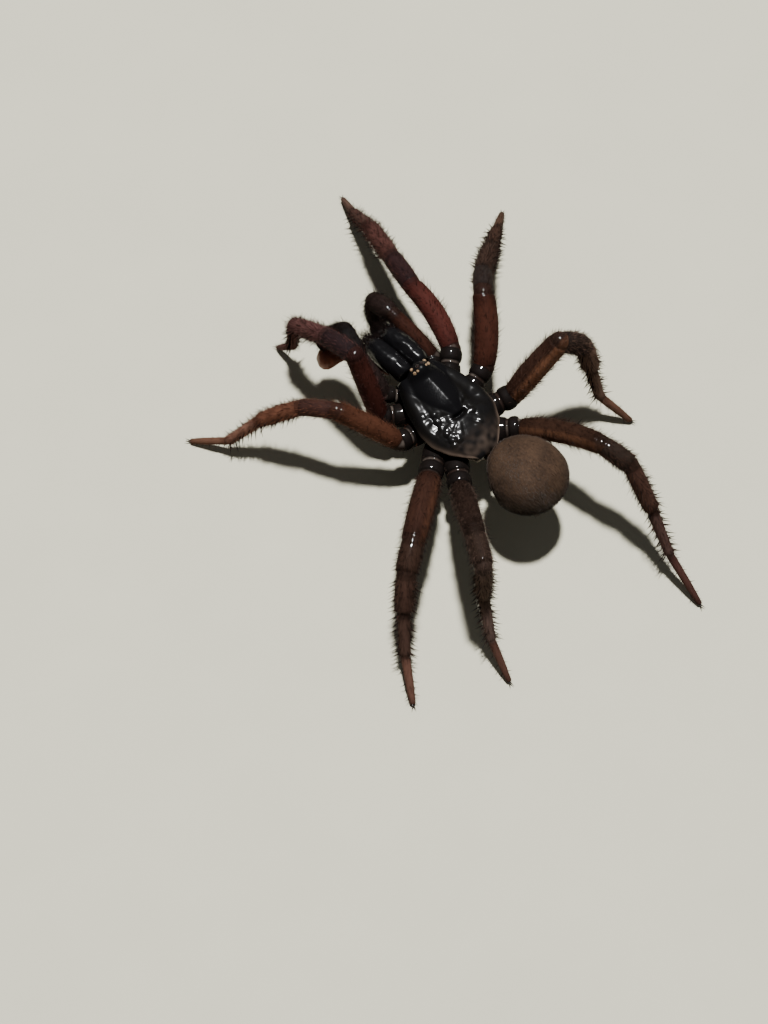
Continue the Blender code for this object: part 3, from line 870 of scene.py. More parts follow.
class HairTree(SpikeTree):
    """Grows tapering hairs over a skin.

    The skin carries these values on its vertices: "coat" for how dense, "length"
    for how long, "flow" for the lie, and "unwrap" for the place on its unwrap.
    """

    TITLE = "grow hair"
    INPUTS = ("Geometry", "Density", "Length", "Thickness", "Lean", "Stray", "Bend", "Seed", "Finish")

    def spikes(self) -> Signal:
        """Spread hairs over the skin, turn each to the lie of the coat and map them flat.

        Returns:
            The coat as a solid mesh.
        """
        nodes, given = self.nodes, self.given
        spread = nodes.make("GeometryNodeDistributePointsOnFaces", {
            "Mesh": given["Geometry"], "Density": given["Density"] * self.carried("coat", "FLOAT"),
            "Seed": given["Seed"]})
        normal = spread.other("Normal")
        stray = nodes.make("FunctionNodeRandomValue", {
            0: (-1.0, -1.0, -1.0), 1: (1.0, 1.0, 1.0), "Seed": given["Seed"]}, data_type="FLOAT_VECTOR")
        varied = nodes.make("FunctionNodeRandomValue", {2: 0.65, 3: 1.15, "Seed": given["Seed"] + 1}, 1,
                            data_type="FLOAT")
        upward = nodes.vector("SCALE", normal, Scale=1.0 - given["Lean"])
        lying = nodes.vector("SCALE", self.carried("flow"), Scale=given["Lean"])
        astray = nodes.vector("SCALE", stray, Scale=given["Stray"])
        aim = nodes.vector("ADD", nodes.vector("ADD", upward, lying), astray)
        size = given["Length"] * self.carried("length", "FLOAT") * varied
        solid = self.planted(spread, aim, normal, size)
        root = nodes.vector("MULTIPLY_ADD", self.carried("unwrap"), (0.99, 0.99, 0.0), (0.005, 0.002, 0.0))
        where = nodes.vector("ADD", root, self.carried("tuft"))
        return nodes.make("GeometryNodeStoreNamedAttribute", {
            "Geometry": solid, "Name": "OFBake", "Value": where}, data_type="FLOAT2", domain="CORNER")


class SpineTree(SpikeTree):
    """Sets one stout spine on each root, which carries its "aim", "lie" and "size" in metres."""

    TITLE = "set spines"
    SIDES = 6
    STEPS = 4

    def spikes(self) -> Signal:
        """Plant the spines as the roots say."""
        return self.planted(self.given["Geometry"], self.carried("aim"), self.carried("lie"),
                            self.carried("size", "FLOAT"))


@dataclass(frozen=True)
class Coat:
    """One coat: hairs for each square mm, their size in mm and their lie."""

    density: float
    length: float
    thickness: float
    lean: float
    stray: float
    bend: float
    seed: int

    def inputs(self, material: Look) -> dict[str, object]:
        """List the hair tree's inputs for this coat."""
        return {"Density": self.density / MM ** 2, "Length": self.length * MM,
                "Thickness": self.thickness / self.length, "Lean": self.lean, "Stray": self.stray,
                "Bend": -self.bend, "Seed": self.seed, "Finish": material}


class Workshop:
    """Writes meshes in the frame, grows hair on them and hands finished pieces over.

    The origin is the body's own origin in the frame, in mm, and the ceiling the
    height that no hair passes, in metres.
    """

    def __init__(self) -> None:
        """Find the body's origin from the carapace of the solids, and build the trees."""
        low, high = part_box("carapace")
        self.origin = vec((low.x + high.x) / 2.0, (low.y + high.y) / 2.0, 0.0) / MM
        self.origin[1] -= Carapace().middle
        self.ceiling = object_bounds()[1][2] * HAIR_ROOM
        self.hair, self.spines = HairTree(), SpineTree()

    def place(self, points: np.ndarray) -> np.ndarray:
        """Turn places in mm on the animal into metres in the frame."""
        return (np.asarray(points, float) + self.origin) * MM

    def places(self, mesh: bpy.types.Mesh) -> np.ndarray:
        """Read the vertices of a mesh in mm on the animal."""
        return corners_of(mesh) / MM - self.origin

    def mesh(self, name: str, points: np.ndarray, faces: list) -> Thing:
        """Make a smooth object that faces outward.

        Args:
            name: Name of the object and its mesh.
            points: Places in mm.
            faces: Tuples of indices.

        Returns:
            The object.
        """
        mesh = bpy.data.meshes.new(name)
        mesh.from_pydata(self.place(points).tolist(), [], faces)
        mesh.shade_smooth()
        if volume_of(mesh) < 0.0:
            mesh.flip_normals()
        return link(name, mesh)

    def loft(self, name: str, *lofts: np.ndarray) -> Thing:
        """Make an object of closed lofts."""
        return self.mesh(name, *closed(*lofts))

    def finish(self, made: Thing, slot: str, nodes: tuple[str, ...] = (),
               material: Look | None = None) -> None:
        """Dress a piece, let it ride on the body and stand for its nodes.

        Args:
            made: The piece.
            slot: Not used.
            nodes: Nodes of the solids that the piece stands for.
            material: Finish, or nothing where the piece has its own already.
        """
        if material is not None:
            made.data.materials.clear()
            made.data.materials.append(material)
        corners = corners_of(made.data)
        corners[:, 2] = np.clip(corners[:, 2], 0.0, self.ceiling)
        move(made.data, corners)
        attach(made, BODY)
        if nodes:
            if "up" not in made.data.attributes:
                store(made.data, up=normals_of(made.data)[:, 2])
            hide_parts(*nodes)
        made.data.calc_loop_triangles()
        LOG.info("%s: %d triangles", made.name, len(made.data.loop_triangles))

    def grow(self, skin: Thing, name: str, coat: Coat, material: Look) -> Thing:
        """Grow a coat on a skin that carries its values."""
        return self.hair.apply(link(name, skin.data), coat.inputs(material))

    def spike(self, name: str, slot: str, roots: list, thickness: float, bend: float, material: Look) -> None:
        """Set spines on their roots and finish them.

        Args:
            name: Name of the piece.
            slot: Not used; it is passed on to finish, which ignores it.
            roots: Place, aim, length in mm and way of the bend of each.
            thickness: Radius at the root over the length.
            bend: Bend at the tip over the length.
            material: Finish.
        """
        places, aims, sizes, lies = (np.array(column) for column in zip(*roots))
        ground = self.mesh(name, places, [])
        store(ground.data, aim=aims, lie=lies, size=sizes * MM)
        values = {"Thickness": thickness, "Bend": bend, "Finish": material}
        self.finish(self.spines.apply(ground, values), slot)


# Limbs

FRONT_HAIR = (0.1, 0.1, 0.6, 1.0, 1.8, 1.7, 1.1)
REAR_HAIR = (0.1, 0.1, 1.1, 1.9, 1.6, 1.3, 1.0)
PALP_HAIR = (0.1, 0.1, 0.7, 1.6, 2.2, 1.8, 1.0)
HAIR_LENGTHS = (0.8, 0.6, 1.0, 0.8, 1.0, 0.9, 0.6)
FRONT_PAIRS = (1, 2)
STRONG_BEND = 0.82
BENT_REACH = 0.32
BENT_ROUNDING = 0.95


@dataclass
class Part:
    """One stiff part of a limb: a rounded, slightly bowed tube."""

    kind: Kind
    start: np.ndarray
    end: np.ndarray
    radius: float
    profile: Points
    across: np.ndarray
    trims: tuple[float, float]
    bow: float
    sway: float
    rounding: tuple[float, float] = (0.11, 0.11)
    narrow: float = 0.97
    rings: int = 22
    count: int = 28

    def __post_init__(self) -> None:
        """Work out the axis and the back of the part."""
        self.along = unit(self.end - self.start)
        self.across = unit(self.across - self.along * float(self.across @ self.along))
        self.back = np.cross(self.across, self.along)
        if self.back[2] < 0.0 and abs(self.along[2]) < 0.999:
            self.back = -self.back
        self.length = float(np.linalg.norm(self.end - self.start))

    def axis(self, share: np.ndarray | float) -> np.ndarray:
        """Give places on the bowed axis, as rows, at shares of the length."""
        arch = 4.0 * share * (1.0 - share)
        return (self.start + np.outer(share, self.along) * self.length
                + np.outer(arch, self.back * self.bow + self.across * self.sway))

    def girth(self, share: np.ndarray | float) -> np.ndarray | float:
        """Give the radius at shares of the length."""
        return self.radius * read(self.profile, share, 0.04)

    def shell(self) -> np.ndarray:
        """Make the rings of the tube.

        Returns:
            Rings that close in at both ends.
        """
        first, last = self.trims[0] / self.length, 1.0 - self.trims[1] / self.length
        shares = first + (last - first) * (1.0 - np.cos(np.linspace(0.0, math.pi, self.rings))) / 2.0
        radii = self.girth(shares)
        for cap, reach in zip(self.rounding, (shares - first, last - shares)):
            radii = radii * domed(1.0 - reach * self.length / (cap * self.radius), 0.0004)
        return tube(self.axis(shares), radii, self.across * self.narrow, self.back, self.count)

    def bends_to(self, after: "Part") -> bool:
        """Tell whether the next part turns away strongly."""
        return float(self.along @ after.along) < STRONG_BEND


@dataclass(frozen=True)
class SpineRow:
    """Rows of spines along a part: shares, number, length, and degrees from its back."""

    first: float
    last: float
    number: int
    length: float
    angles: tuple[float, ...]
    lean: float = 57.0

    def roots(self, part: Part, draw: random.Random) -> list:
        """List place, aim, length and bend of each spine.

        Args:
            part: The part of the limb.
            draw: Source of small differences.

        Returns:
            Rows for the spine tree.
        """
        rows = []
        for turn, i in ((turn, i) for turn in self.angles for i in range(self.number)):
            share = self.first + (self.last - self.first) * i / max(1, self.number - 1)
            share += draw.uniform(-0.02, 0.02)
            angle = math.radians(turn + draw.uniform(-9.0, 9.0))
            lean = math.radians(self.lean + draw.uniform(-10.0, 10.0))
            outward = part.back * math.cos(angle) + part.across * math.sin(angle)
            aim = unit(outward * math.sin(lean) + part.along * math.cos(lean))
            place = part.axis(share)[0] + outward * part.girth(share) * 0.9
            rows.append((place, aim, self.length * draw.uniform(0.8, 1.15), part.along))
        return rows


SpineRows = dict[Kind, tuple[SpineRow, ...]]
FRONT_SPINES = {
    Kind.PATELLA: (SpineRow(0.5, 0.95, 3, 0.34, (100.0, -100.0)),),
    Kind.TIBIA: (SpineRow(0.15, 0.95, 7, 0.62, (98.0, -98.0)), SpineRow(0.2, 0.9, 5, 0.46, (62.0, -62.0))),
    Kind.METATARSUS: (SpineRow(0.05, 0.95, 8, 0.7, (108.0, -108.0)),
                      SpineRow(0.1, 0.9, 6, 0.5, (64.0, -64.0)), SpineRow(0.2, 0.85, 5, 0.5, (160.0,))),
    Kind.TARSUS: (SpineRow(0.1, 0.85, 5, 0.26, (125.0, -125.0)),),
}
REAR_SPINES = {
    Kind.PATELLA: (SpineRow(0.25, 0.92, 6, 0.4, (40.0,)), SpineRow(0.25, 0.92, 6, 0.44, (66.0,)),
                   SpineRow(0.3, 0.92, 6, 0.44, (90.0,)), SpineRow(0.4, 0.92, 4, 0.42, (-66.0,))),
    Kind.TIBIA: (SpineRow(0.12, 0.93, 8, 0.46, (46.0,)), SpineRow(0.15, 0.95, 7, 0.56, (80.0,)),
                 SpineRow(0.2, 0.93, 6, 0.48, (-60.0,)), SpineRow(0.2, 0.95, 5, 0.62, (-92.0,)),
                 SpineRow(0.5, 0.95, 4, 0.6, (150.0,))),
    Kind.METATARSUS: (SpineRow(0.06, 0.95, 7, 0.6, (66.0,)), SpineRow(0.1, 0.95, 7, 0.6, (-66.0,)),
                      SpineRow(0.1, 0.95, 7, 0.66, (100.0, -100.0)),
                      SpineRow(0.2, 0.95, 5, 0.55, (140.0, -140.0))),
    Kind.TARSUS: (SpineRow(0.1, 0.8, 4, 0.36, (100.0, -100.0)),),
}
PALP_SPINES = {
    Kind.PATELLA: (SpineRow(0.4, 0.9, 2, 0.34, (70.0,)),),
    Kind.TIBIA: (SpineRow(0.3, 0.85, 3, 0.4, (90.0, -90.0)),),
}
PROFILES = {
    Kind.COXA: ((0.0, 1.05), (0.25, 1.25), (0.6, 1.3), (1.0, 1.16)),
    Kind.TROCHANTER: ((0.0, 1.1), (0.3, 1.24), (0.7, 1.24), (1.0, 1.12)),
    Kind.FEMUR: ((0.0, 0.9), (0.1, 0.96), (0.35, 1.03), (0.65, 1.02), (0.88, 0.97), (1.0, 0.94)),
    Kind.PATELLA: ((0.0, 0.96), (0.15, 1.0), (0.5, 1.02), (0.85, 1.0), (1.0, 0.97)),
    Kind.TIBIA: ((0.0, 0.97), (0.15, 1.01), (0.4, 1.03), (0.8, 0.97), (1.0, 0.9)),
    Kind.METATARSUS: ((0.0, 0.98), (0.1, 1.06), (0.4, 1.03), (0.85, 0.9), (0.95, 0.98), (1.0, 0.96)),
    Kind.TARSUS: ((0.0, 0.98), (0.15, 1.02), (0.6, 0.92), (1.0, 0.66)),
}


@dataclass(frozen=True)
class Build:
    """How the parts of legs or of palps are shaped on their joints."""

    profiles: dict[Kind, Points]
    bows: dict[Kind, float]
    trim: float
    coxa_end: float = 0.64
    trochanter_start: float = 0.68

    def parts(self, joints: list[np.ndarray], ways: list[np.ndarray], radii: tuple[float, ...],
              sway: float) -> list[Part]:
        """Make the parts of a limb.

        Args:
            joints: Places from the root to the far end, in mm.
            ways: Level way of each part.
            radii: Largest radius of each part.
            sway: How far the femur bends sideways.

        Returns:
            The parts, in order of their kinds.
        """
        root, hip = joints[:2]
        cuts = (self.coxa_end, self.trochanter_start)
        coxa_end, ring_start = (root + (hip - root) * share for share in cuts)
        spans = [(root, coxa_end), (ring_start, hip), *zip(joints[1:], joints[2:])]
        parts = []
        for kind, (start, end), way, radius in zip(Kind, spans, ways, radii):
            gap = self.trim * radius if kind.value >= Kind.FEMUR.value else 0.0
            parts.append(Part(kind, start, end, radius, self.profiles[kind], np.cross(way, UP), (gap, gap),
                              self.bows.get(kind, 0.0), sway if kind is Kind.FEMUR else 0.0))
        for before, after in zip(parts, parts[1:]):
            if after.kind.value > Kind.FEMUR.value and before.bends_to(after):
                after.trims = (-BENT_REACH * after.radius, after.trims[1])
                after.rounding = (BENT_ROUNDING, after.rounding[1])
        return parts


LEG_BOWS = {Kind.FEMUR: 0.14, Kind.PATELLA: 0.06, Kind.TIBIA: 0.03, Kind.METATARSUS: -0.04}
LEG_BUILD = Build(PROFILES, LEG_BOWS, 0.035)
PALP_BUILD = Build({**PROFILES, Kind.METATARSUS: PROFILES[Kind.PATELLA]}, {Kind.FEMUR: 0.08}, 0.08)


@dataclass
class Limb:
    """A leg or a palp: the skin, coat and bristles on its parts."""

    label: str
    parts: list[Part]
    ends: tuple[str, ...]
    slot: str
    colours: LimbColours
    coat: Coat
    hairiness: tuple[float, ...]
    rows: SpineRows
    voxel: float = 0.06
    pale_side: float = 0.0
    bristles: Coat = Coat(9.0, 0.6, 0.016, 0.36, 0.28, 0.3, 9)
    joint_share: float = 0.92
    bent_share: float = 0.98

    def build(self, shop: Workshop, bristle: Look) -> None:
        """Make the limb's skin and coats and hand them to the frame.

        Args:
            shop: Writer of meshes.
            bristle: Finish of the bristles.
        """
        label, ground = self.label, self.colours.tibia
        hair = HairFinish(label + " hair", dark=shaded(ground, 0.55), light=shaded(ground, 1.6)).build()
        look = LimbFinish(label, specular=0.02, colours=self.colours, pale_side=self.pale_side).build()
        skin = self._skin(shop)
        fur = shop.grow(skin, label + "_hair", self.coat, hair)
        bristles = shop.grow(skin, label + "_bristles", self.bristles, bristle)
        names = ("coxa", "femur", "patella_tibia", *self.ends)
        shop.finish(skin, self.slot, tuple(f"{label}_{name}" for name in names), look)
        shop.finish(fur, self.slot)
        shop.finish(bristles, self.slot)

    def spine_roots(self, draw: random.Random) -> list:
        """List the roots of the spines, row by row."""
        rows = [(self.parts[kind.value], row) for kind, rows in self.rows.items() for row in rows]
        return [root for part, row in rows for root in row.roots(part, draw)]

    def _skin(self, shop: Workshop) -> Thing:
        """Make one closed skin over the tubes and joints, with what its looks read.

        Args:
            shop: Writer of meshes.

        Returns:
            The skin.
        """
        shells = [part.shell() for part in self.parts]
        for before, after in zip(self.parts, self.parts[1:]):
            reach = min(before.girth(1.0), after.girth(0.0))
            bent = after.kind.value > Kind.FEMUR.value or before.bends_to(after)
            shells.append(ball(after.start, reach * (self.bent_share if bent else self.joint_share), 16, 20))
        raw = shop.loft(self.label + "_skin", *shells)
        remesh = raw.modifiers.new("one skin", "REMESH")
        remesh.mode = "VOXEL"
        remesh.voxel_size = self.voxel * MM
        smooth = raw.modifiers.new("soften", "SMOOTH")
        smooth.factor = 0.5
        smooth.iterations = 3
        skin = evaluated(raw)
        corners = corners_of(skin.data)
        corners[:, 2] = np.maximum(corners[:, 2], 0.0)
        move(skin.data, corners)
        self._mark(skin.data, shop)
        return skin

    def _mark(self, mesh: bpy.types.Mesh, shop: Workshop) -> None:
        """Write each vertex's part, back, joint and coat values.

        Args:
            mesh: The skin.
            shop: Writer of meshes.
        """
        places = shop.places(mesh)
        best = np.full(len(places), np.inf)
        rows = {name: np.zeros(len(places)) for name in ("along", "back", "side", "angle", "coat", "length")}
        rows["flow"] = np.zeros((len(places), 3))
        for part in self.parts:
            share = np.clip((places - part.start) @ part.along / part.length, 0.0, 1.0)
            offset = places - part.axis(share)
            side, height, rest = offset @ part.across / part.narrow, offset @ part.back, offset @ part.along
            score = np.sqrt(side ** 2 + height ** 2 + rest ** 2) / part.girth(share)
            closer = score < best
            best[closer] = score[closer]
            reach = np.maximum(np.hypot(side, height), 1e-6)
            index = part.kind.value
            found = {"along": (index + share) / LIMB_PARTS, "back": height / reach, "side": side / reach,
                     "angle": np.arctan2(side, -height) / FULL_TURN + 0.5, "coat": self.hairiness[index],
                     "length": HAIR_LENGTHS[index], "flow": part.along}
            for name, value in found.items():
                rows[name][closer] = np.broadcast_to(value, rows[name].shape)[closer]
        along = rows["along"] * LIMB_PARTS
        joint = (1.0 - ease(0.87, 0.955, best)) * (1.0 - 0.8 * ease(2.2, 2.6, along))
        rows["coat"] *= 1.0 - joint
        store(mesh, unwrap=flat_map(rows["along"], rows.pop("angle")), joint=joint,
              pale=1.0 - ease(0.3, 1.4, np.abs(along - 1.5)), **rows)


@dataclass(frozen=True)
class LegPair:
    """What both legs of a pair share, in mm: root, lengths from the femur, and radii."""

    root: Place
    lengths: tuple[float, ...]
    radii: tuple[float, ...]


@dataclass(frozen=True)
class Leg:
    """One leg: its hip in mm as on the left side, angles in degrees, and colours."""

    hip: Place
    turns: tuple[float, ...]
    lifts: tuple[float, ...]
    colours: LimbColours
    tarsus_share: float = 1.0
    femur_sway: float = 0.0
    girth: float = 1.0
    pale_side: float = 0.0
    foot_height: float = 0.2
    claw_length: float = 0.52
    claw_splay: float = 20.0

    def limb(self, side: Side, number: int) -> Limb:
        """Set up the limb of this leg.

        Args:
            side: Side of the animal.
            number: Pair of the leg, from 1 at the head.

        Returns:
            The limb, not yet built.
        """
        pair, front = LEG_PAIRS[number], number in FRONT_PAIRS
        joints = self._joints(side, pair)
        level = unit((joints[1] - joints[0]) * LEVEL)
        ways = [level, level, *(heading(turn, 0.0, side) for turn in self.turns)]
        radii = [radius * (self.girth if index >= 2 else 1.0) for index, radius in enumerate(pair.radii)]
        parts = LEG_BUILD.parts(joints, ways, radii, self.femur_sway)
        parts[-1].trims = (parts[-1].trims[0], 0.0)
        return Limb(f"leg{number}_{side.label}", parts, ("metatarsus_tarsus",),
                    "femur_front" if number == 1 else "femur_rear", self.colours, LEG_COAT,
                    FRONT_HAIR if front else REAR_HAIR, FRONT_SPINES if front else REAR_SPINES,
                    pale_side=self.pale_side)

    def _joints(self, side: Side, pair: LegPair) -> list[np.ndarray]:
        """List the joints, from the root and the hip to the foot on the floor.

        Args:
            side: Side of the animal.
            pair: What both legs of the pair share.

        Returns:
            Places in mm.
        """
        joints = [side.place(pair.root), side.place(self.hip)]
        for length, turn, lift in zip(pair.lengths, self.turns, self.lifts):
            joints.append(joints[-1] + heading(turn, lift, side) * length)
        tarsus = pair.lengths[-1] * self.tarsus_share
        drop = joints[-1][2] - self.foot_height
        lift = -math.degrees(math.asin(min(1.0, drop / tarsus)))
        joints.append(joints[-1] + heading(self.turns[-1], lift, side) * tarsus)
        return joints

    def claws(self, foot: np.ndarray, side: Side) -> list:
        """List the roots of the two claws of a foot."""
        aims = [heading(self.turns[-1] + splay, 12.0, side) for splay in (-self.claw_splay, self.claw_splay)]
        return [(foot - aim * 0.1 + UP * 0.02, aim, self.claw_length, -UP) for aim in aims]


LEG_COAT = Coat(44.0, 0.42, 0.0095, 0.52, 0.24, 0.3, 3)
LEG_PAIRS = {
    1: LegPair((1.35, -1.95, 3.45), (5.2, 2.7, 3.8, 3.2, 2.2), (0.62, 0.62, 0.72, 0.67, 0.62, 0.42, 0.27)),
    2: LegPair((1.6, -0.7, 3.45), (4.8, 2.5, 3.6, 3.2, 2.8), (0.62, 0.62, 0.74, 0.62, 0.58, 0.4, 0.28)),
    3: LegPair((1.6, 0.6, 3.45), (5.2, 2.0, 2.5, 2.8, 3.1), (0.68, 0.68, 0.88, 0.78, 0.68, 0.43, 0.32)),
    4: LegPair((1.35, 1.9, 3.45), (6.0, 2.2, 3.5, 3.2, 3.8), (0.68, 0.68, 0.83, 0.74, 0.63, 0.41, 0.31)),
}
LEGS = {
    (Side.LEFT, 1): Leg((3.35, -3.2, 3.64), (93, 85, 83, 79, 77), (61, -19, -35, -84), LimbColours(
        (0.031, 0.0095, 0.007), (0.05, 0.018, 0.01), (0.013, 0.0075, 0.008),
        (0.07, 0.031, 0.028), (0.082, 0.038, 0.033), (0.05, 0.022, 0.019)), girth=0.95),
    (Side.RIGHT, 1): Leg((3.3, -3.8, 4.0), (80, 79, 75, 76, 74), (7, -8, -19, -36), LimbColours(
        (0.041, 0.0115, 0.009), (0.055, 0.018, 0.012), (0.016, 0.008, 0.008),
        (0.052, 0.022, 0.018), (0.044, 0.024, 0.019), (0.055, 0.032, 0.024)), femur_sway=0.28),
    (Side.LEFT, 2): Leg((3.6, -0.95, 3.9), (53, 56, 44, 30, 50), (33, -19, -39, -45), LimbColours(
        (0.045, 0.0175, 0.01), (0.066, 0.026, 0.013), (0.028, 0.013, 0.0105),
        (0.1, 0.041, 0.025), (0.13, 0.064, 0.045), (0.08, 0.04, 0.026)), girth=0.92),
    (Side.RIGHT, 2): Leg((4.0, -1.4, 4.1), (51, 48, 37, 37, 37), (29, -27, -29, -35), LimbColours(
        (0.033, 0.0115, 0.0075), (0.052, 0.021, 0.012), (0.014, 0.01, 0.009),
        (0.028, 0.016, 0.012), (0.034, 0.017, 0.012), (0.045, 0.024, 0.016)), femur_sway=0.18, girth=1.08),
    (Side.LEFT, 3): Leg((3.7, 2.2, 4.0), (-37, -38, -45, -53, -60), (13, -12, -40, -35), LimbColours(
        (0.024, 0.0105, 0.007), (0.052, 0.022, 0.013), (0.024, 0.013, 0.009),
        (0.036, 0.019, 0.014), (0.036, 0.02, 0.015), (0.07, 0.034, 0.024)), girth=0.93, pale_side=-1.5),
    (Side.RIGHT, 3): Leg((4.15, 1.25, 4.0), (-9, -28, -66, -82, -60), (53, -33, -71, -66), LimbColours(
        (0.026, 0.012, 0.008), (0.13, 0.056, 0.03), (0.013, 0.009, 0.007),
        (0.085, 0.05, 0.037), (0.085, 0.05, 0.038), (0.062, 0.03, 0.02)), girth=0.9, pale_side=2.2),
    (Side.LEFT, 4): Leg((2.7, 3.95, 3.9), (-58, -62, -65, -66, -78), (38, 5, -80, -50), LimbColours(
        (0.014, 0.008, 0.006), (0.05, 0.021, 0.01), (0.018, 0.011, 0.008),
        (0.068, 0.043, 0.034), (0.066, 0.042, 0.035), (0.052, 0.025, 0.018)), 0.8, girth=0.86),
    (Side.RIGHT, 4): Leg((2.95, 3.3, 3.9), (-67, -73, -92, -101, -94), (27, -13, -43, -36), LimbColours(
        (0.021, 0.0102, 0.0064), (0.064, 0.029, 0.016), (0.018, 0.012, 0.009),
        (0.044, 0.022, 0.016), (0.042, 0.024, 0.02), (0.038, 0.017, 0.0135)),
        femur_sway=-0.25, girth=0.87, pale_side=1.7),
}


@dataclass(frozen=True)
class Palp:
    """One palp, in mm as on the left side: joints from root to end, and ends of its bulb."""

    joints: tuple[Place, ...]
    bulb_base: Place
    bulb_tip: Place
    colours: LimbColours
    # Share of the bulb's colours that is kept; below one it is painted shade on a bulb that lies in shadow.
    bulb_painted_shade: float
    radii: tuple[float, ...] = (0.5, 0.48, 0.56, 0.66, 0.7, 0.5)
    coat: Coat = Coat(62.0, 0.34, 0.0085, 0.58, 0.24, 0.3, 5)
    bulb_radius: float = 0.76
    bulb_profile: Points = ((0.0, 0.0), (0.02, 0.3), (0.08, 0.72), (0.2, 0.97), (0.34, 1.0), (0.5, 0.8),
                            (0.66, 0.48), (0.8, 0.26), (0.93, 0.14), (1.0, 0.06))
    # The bulb's own orange-brown, lifted somewhat as painted light to make up for the shadow of the leg above
    # it.
    bulb_colours: tuple[Colour, Colour] = ((0.17, 0.06, 0.036), (0.12, 0.04, 0.024))

    def limb(self, side: Side) -> Limb:
        """Set up the limb of this palp, whose last part holds the bulb.

        Args:
            side: Side of the animal.

        Returns:
            The limb, not yet built.
        """
        joints = [side.place(joint) for joint in self.joints]
        ways = [unit((joints[2] - joints[1]) * LEVEL)] * len(self.radii)
        parts = PALP_BUILD.parts(joints, ways, self.radii, 0.0)
        return Limb(f"palp_{side.label}", parts, ("tarsus",), "shin_front", self.colours, self.coat,
                    PALP_HAIR, PALP_SPINES, voxel=0.05)

    def bulb(self, shop: Workshop, side: Side) -> None:
        """Build the pear-shaped bulb with its drawn-out tip.

        Args:
            shop: Writer of meshes.
            side: Side of the animal.
        """
        base, tip = side.place(self.bulb_base), side.place(self.bulb_tip)
        along = unit(tip - base)
        across = unit(np.cross(along, UP))
        back = np.cross(across, along)
        shares = np.linspace(0.0, 1.0, 48)
        radii = np.maximum(read(self.bulb_profile, shares, 0.02) * self.bulb_radius, 0.012)
        radii *= 1.0 - 0.025 * hump(0.3, 0.02, shares) - 0.025 * hump(0.5, 0.02, shares)
        curl = 0.1 * np.clip(shares - 0.5, 0.0, 1.0) ** 2 * 4.0
        centres = base + np.outer(shares, tip - base) + np.outer(curl, back)
        label = f"palp_{side.label}_bulb"
        made = shop.loft(label + "_skin", tube(centres, radii, across, back, 36))
        store(made.data, along=on_rings(shares, 36)[0])
        # Painted shade: the bulb's colours are darkened by its painted-shade share.
        root_colour, tip_colour = (shaded(colour, self.bulb_painted_shade) for colour in self.bulb_colours)
        finish = GlossFinish("bulb " + side.label, specular=0.2, root=root_colour, tip=tip_colour)
        shop.finish(made, "bulb", (label,), finish.build())


PALPS = {
    Side.LEFT: Palp(((0.78, -3.1, 3.5), (2.12, -4.05, 4.1), (2.4, -6.6, 6.3), (2.0, -8.3, 6.35),
                     (2.65, -9.3, 4.75), (3.05, -9.45, 4.05)), (3.75, -9.15, 3.6), (2.0, -7.8, 3.5),
                    LimbColours((0.014, 0.009, 0.008), (0.03, 0.015, 0.01), (0.007, 0.006, 0.006),
                                (0.01, 0.007, 0.006), (0.015, 0.009, 0.007), (0.015, 0.009, 0.007)), 1.0),
    # The last number of each palp is its bulb's painted shade; the right bulb is darkened to 0.3.
    Side.RIGHT: Palp(((0.78, -3.1, 3.5), (1.98, -4.15, 4.15), (1.5, -7.65, 5.5), (1.4, -9.35, 5.0),
                      (1.25, -8.95, 3.05), (0.95, -8.5, 2.5)), (0.85, -8.1, 2.4), (0.75, -7.0, 2.4),
                     LimbColours((0.024, 0.009, 0.006), (0.055, 0.02, 0.011), (0.013, 0.008, 0.007),
                                 (0.016, 0.01, 0.008), (0.02, 0.011, 0.009), (0.02, 0.011, 0.009)), 0.3),
}


def build_limbs(shop: Workshop) -> None:
    """Build and dress every limb, with spines, claws and bulbs.

    Args:
        shop: Writer of meshes.
    """
    spine = HairFinish("spine", dark=(0.007, 0.0055, 0.005), light=(0.026, 0.016, 0.0125)).build()
    claw = GlossFinish("claw").build()
    draw = random.Random(11)
    spine_roots, claw_roots = [], []
    for side in Side:
        for number in LEG_PAIRS:
            leg = LEGS[side, number]
            limb = leg.limb(side, number)
            limb.build(shop, spine)
            spine_roots += limb.spine_roots(draw)
            claw_roots += leg.claws(limb.parts[-1].end, side)
        palp = PALPS[side]
        limb = palp.limb(side)
        limb.build(shop, spine)
        spine_roots += limb.spine_roots(draw)
        palp.bulb(shop, side)
    shop.spike("leg_spines", "shin_rear", spine_roots, 0.078, -0.12, spine)
    shop.spike("leg_claws", "claw", claw_roots, 0.13, 0.3, claw)


# Front body


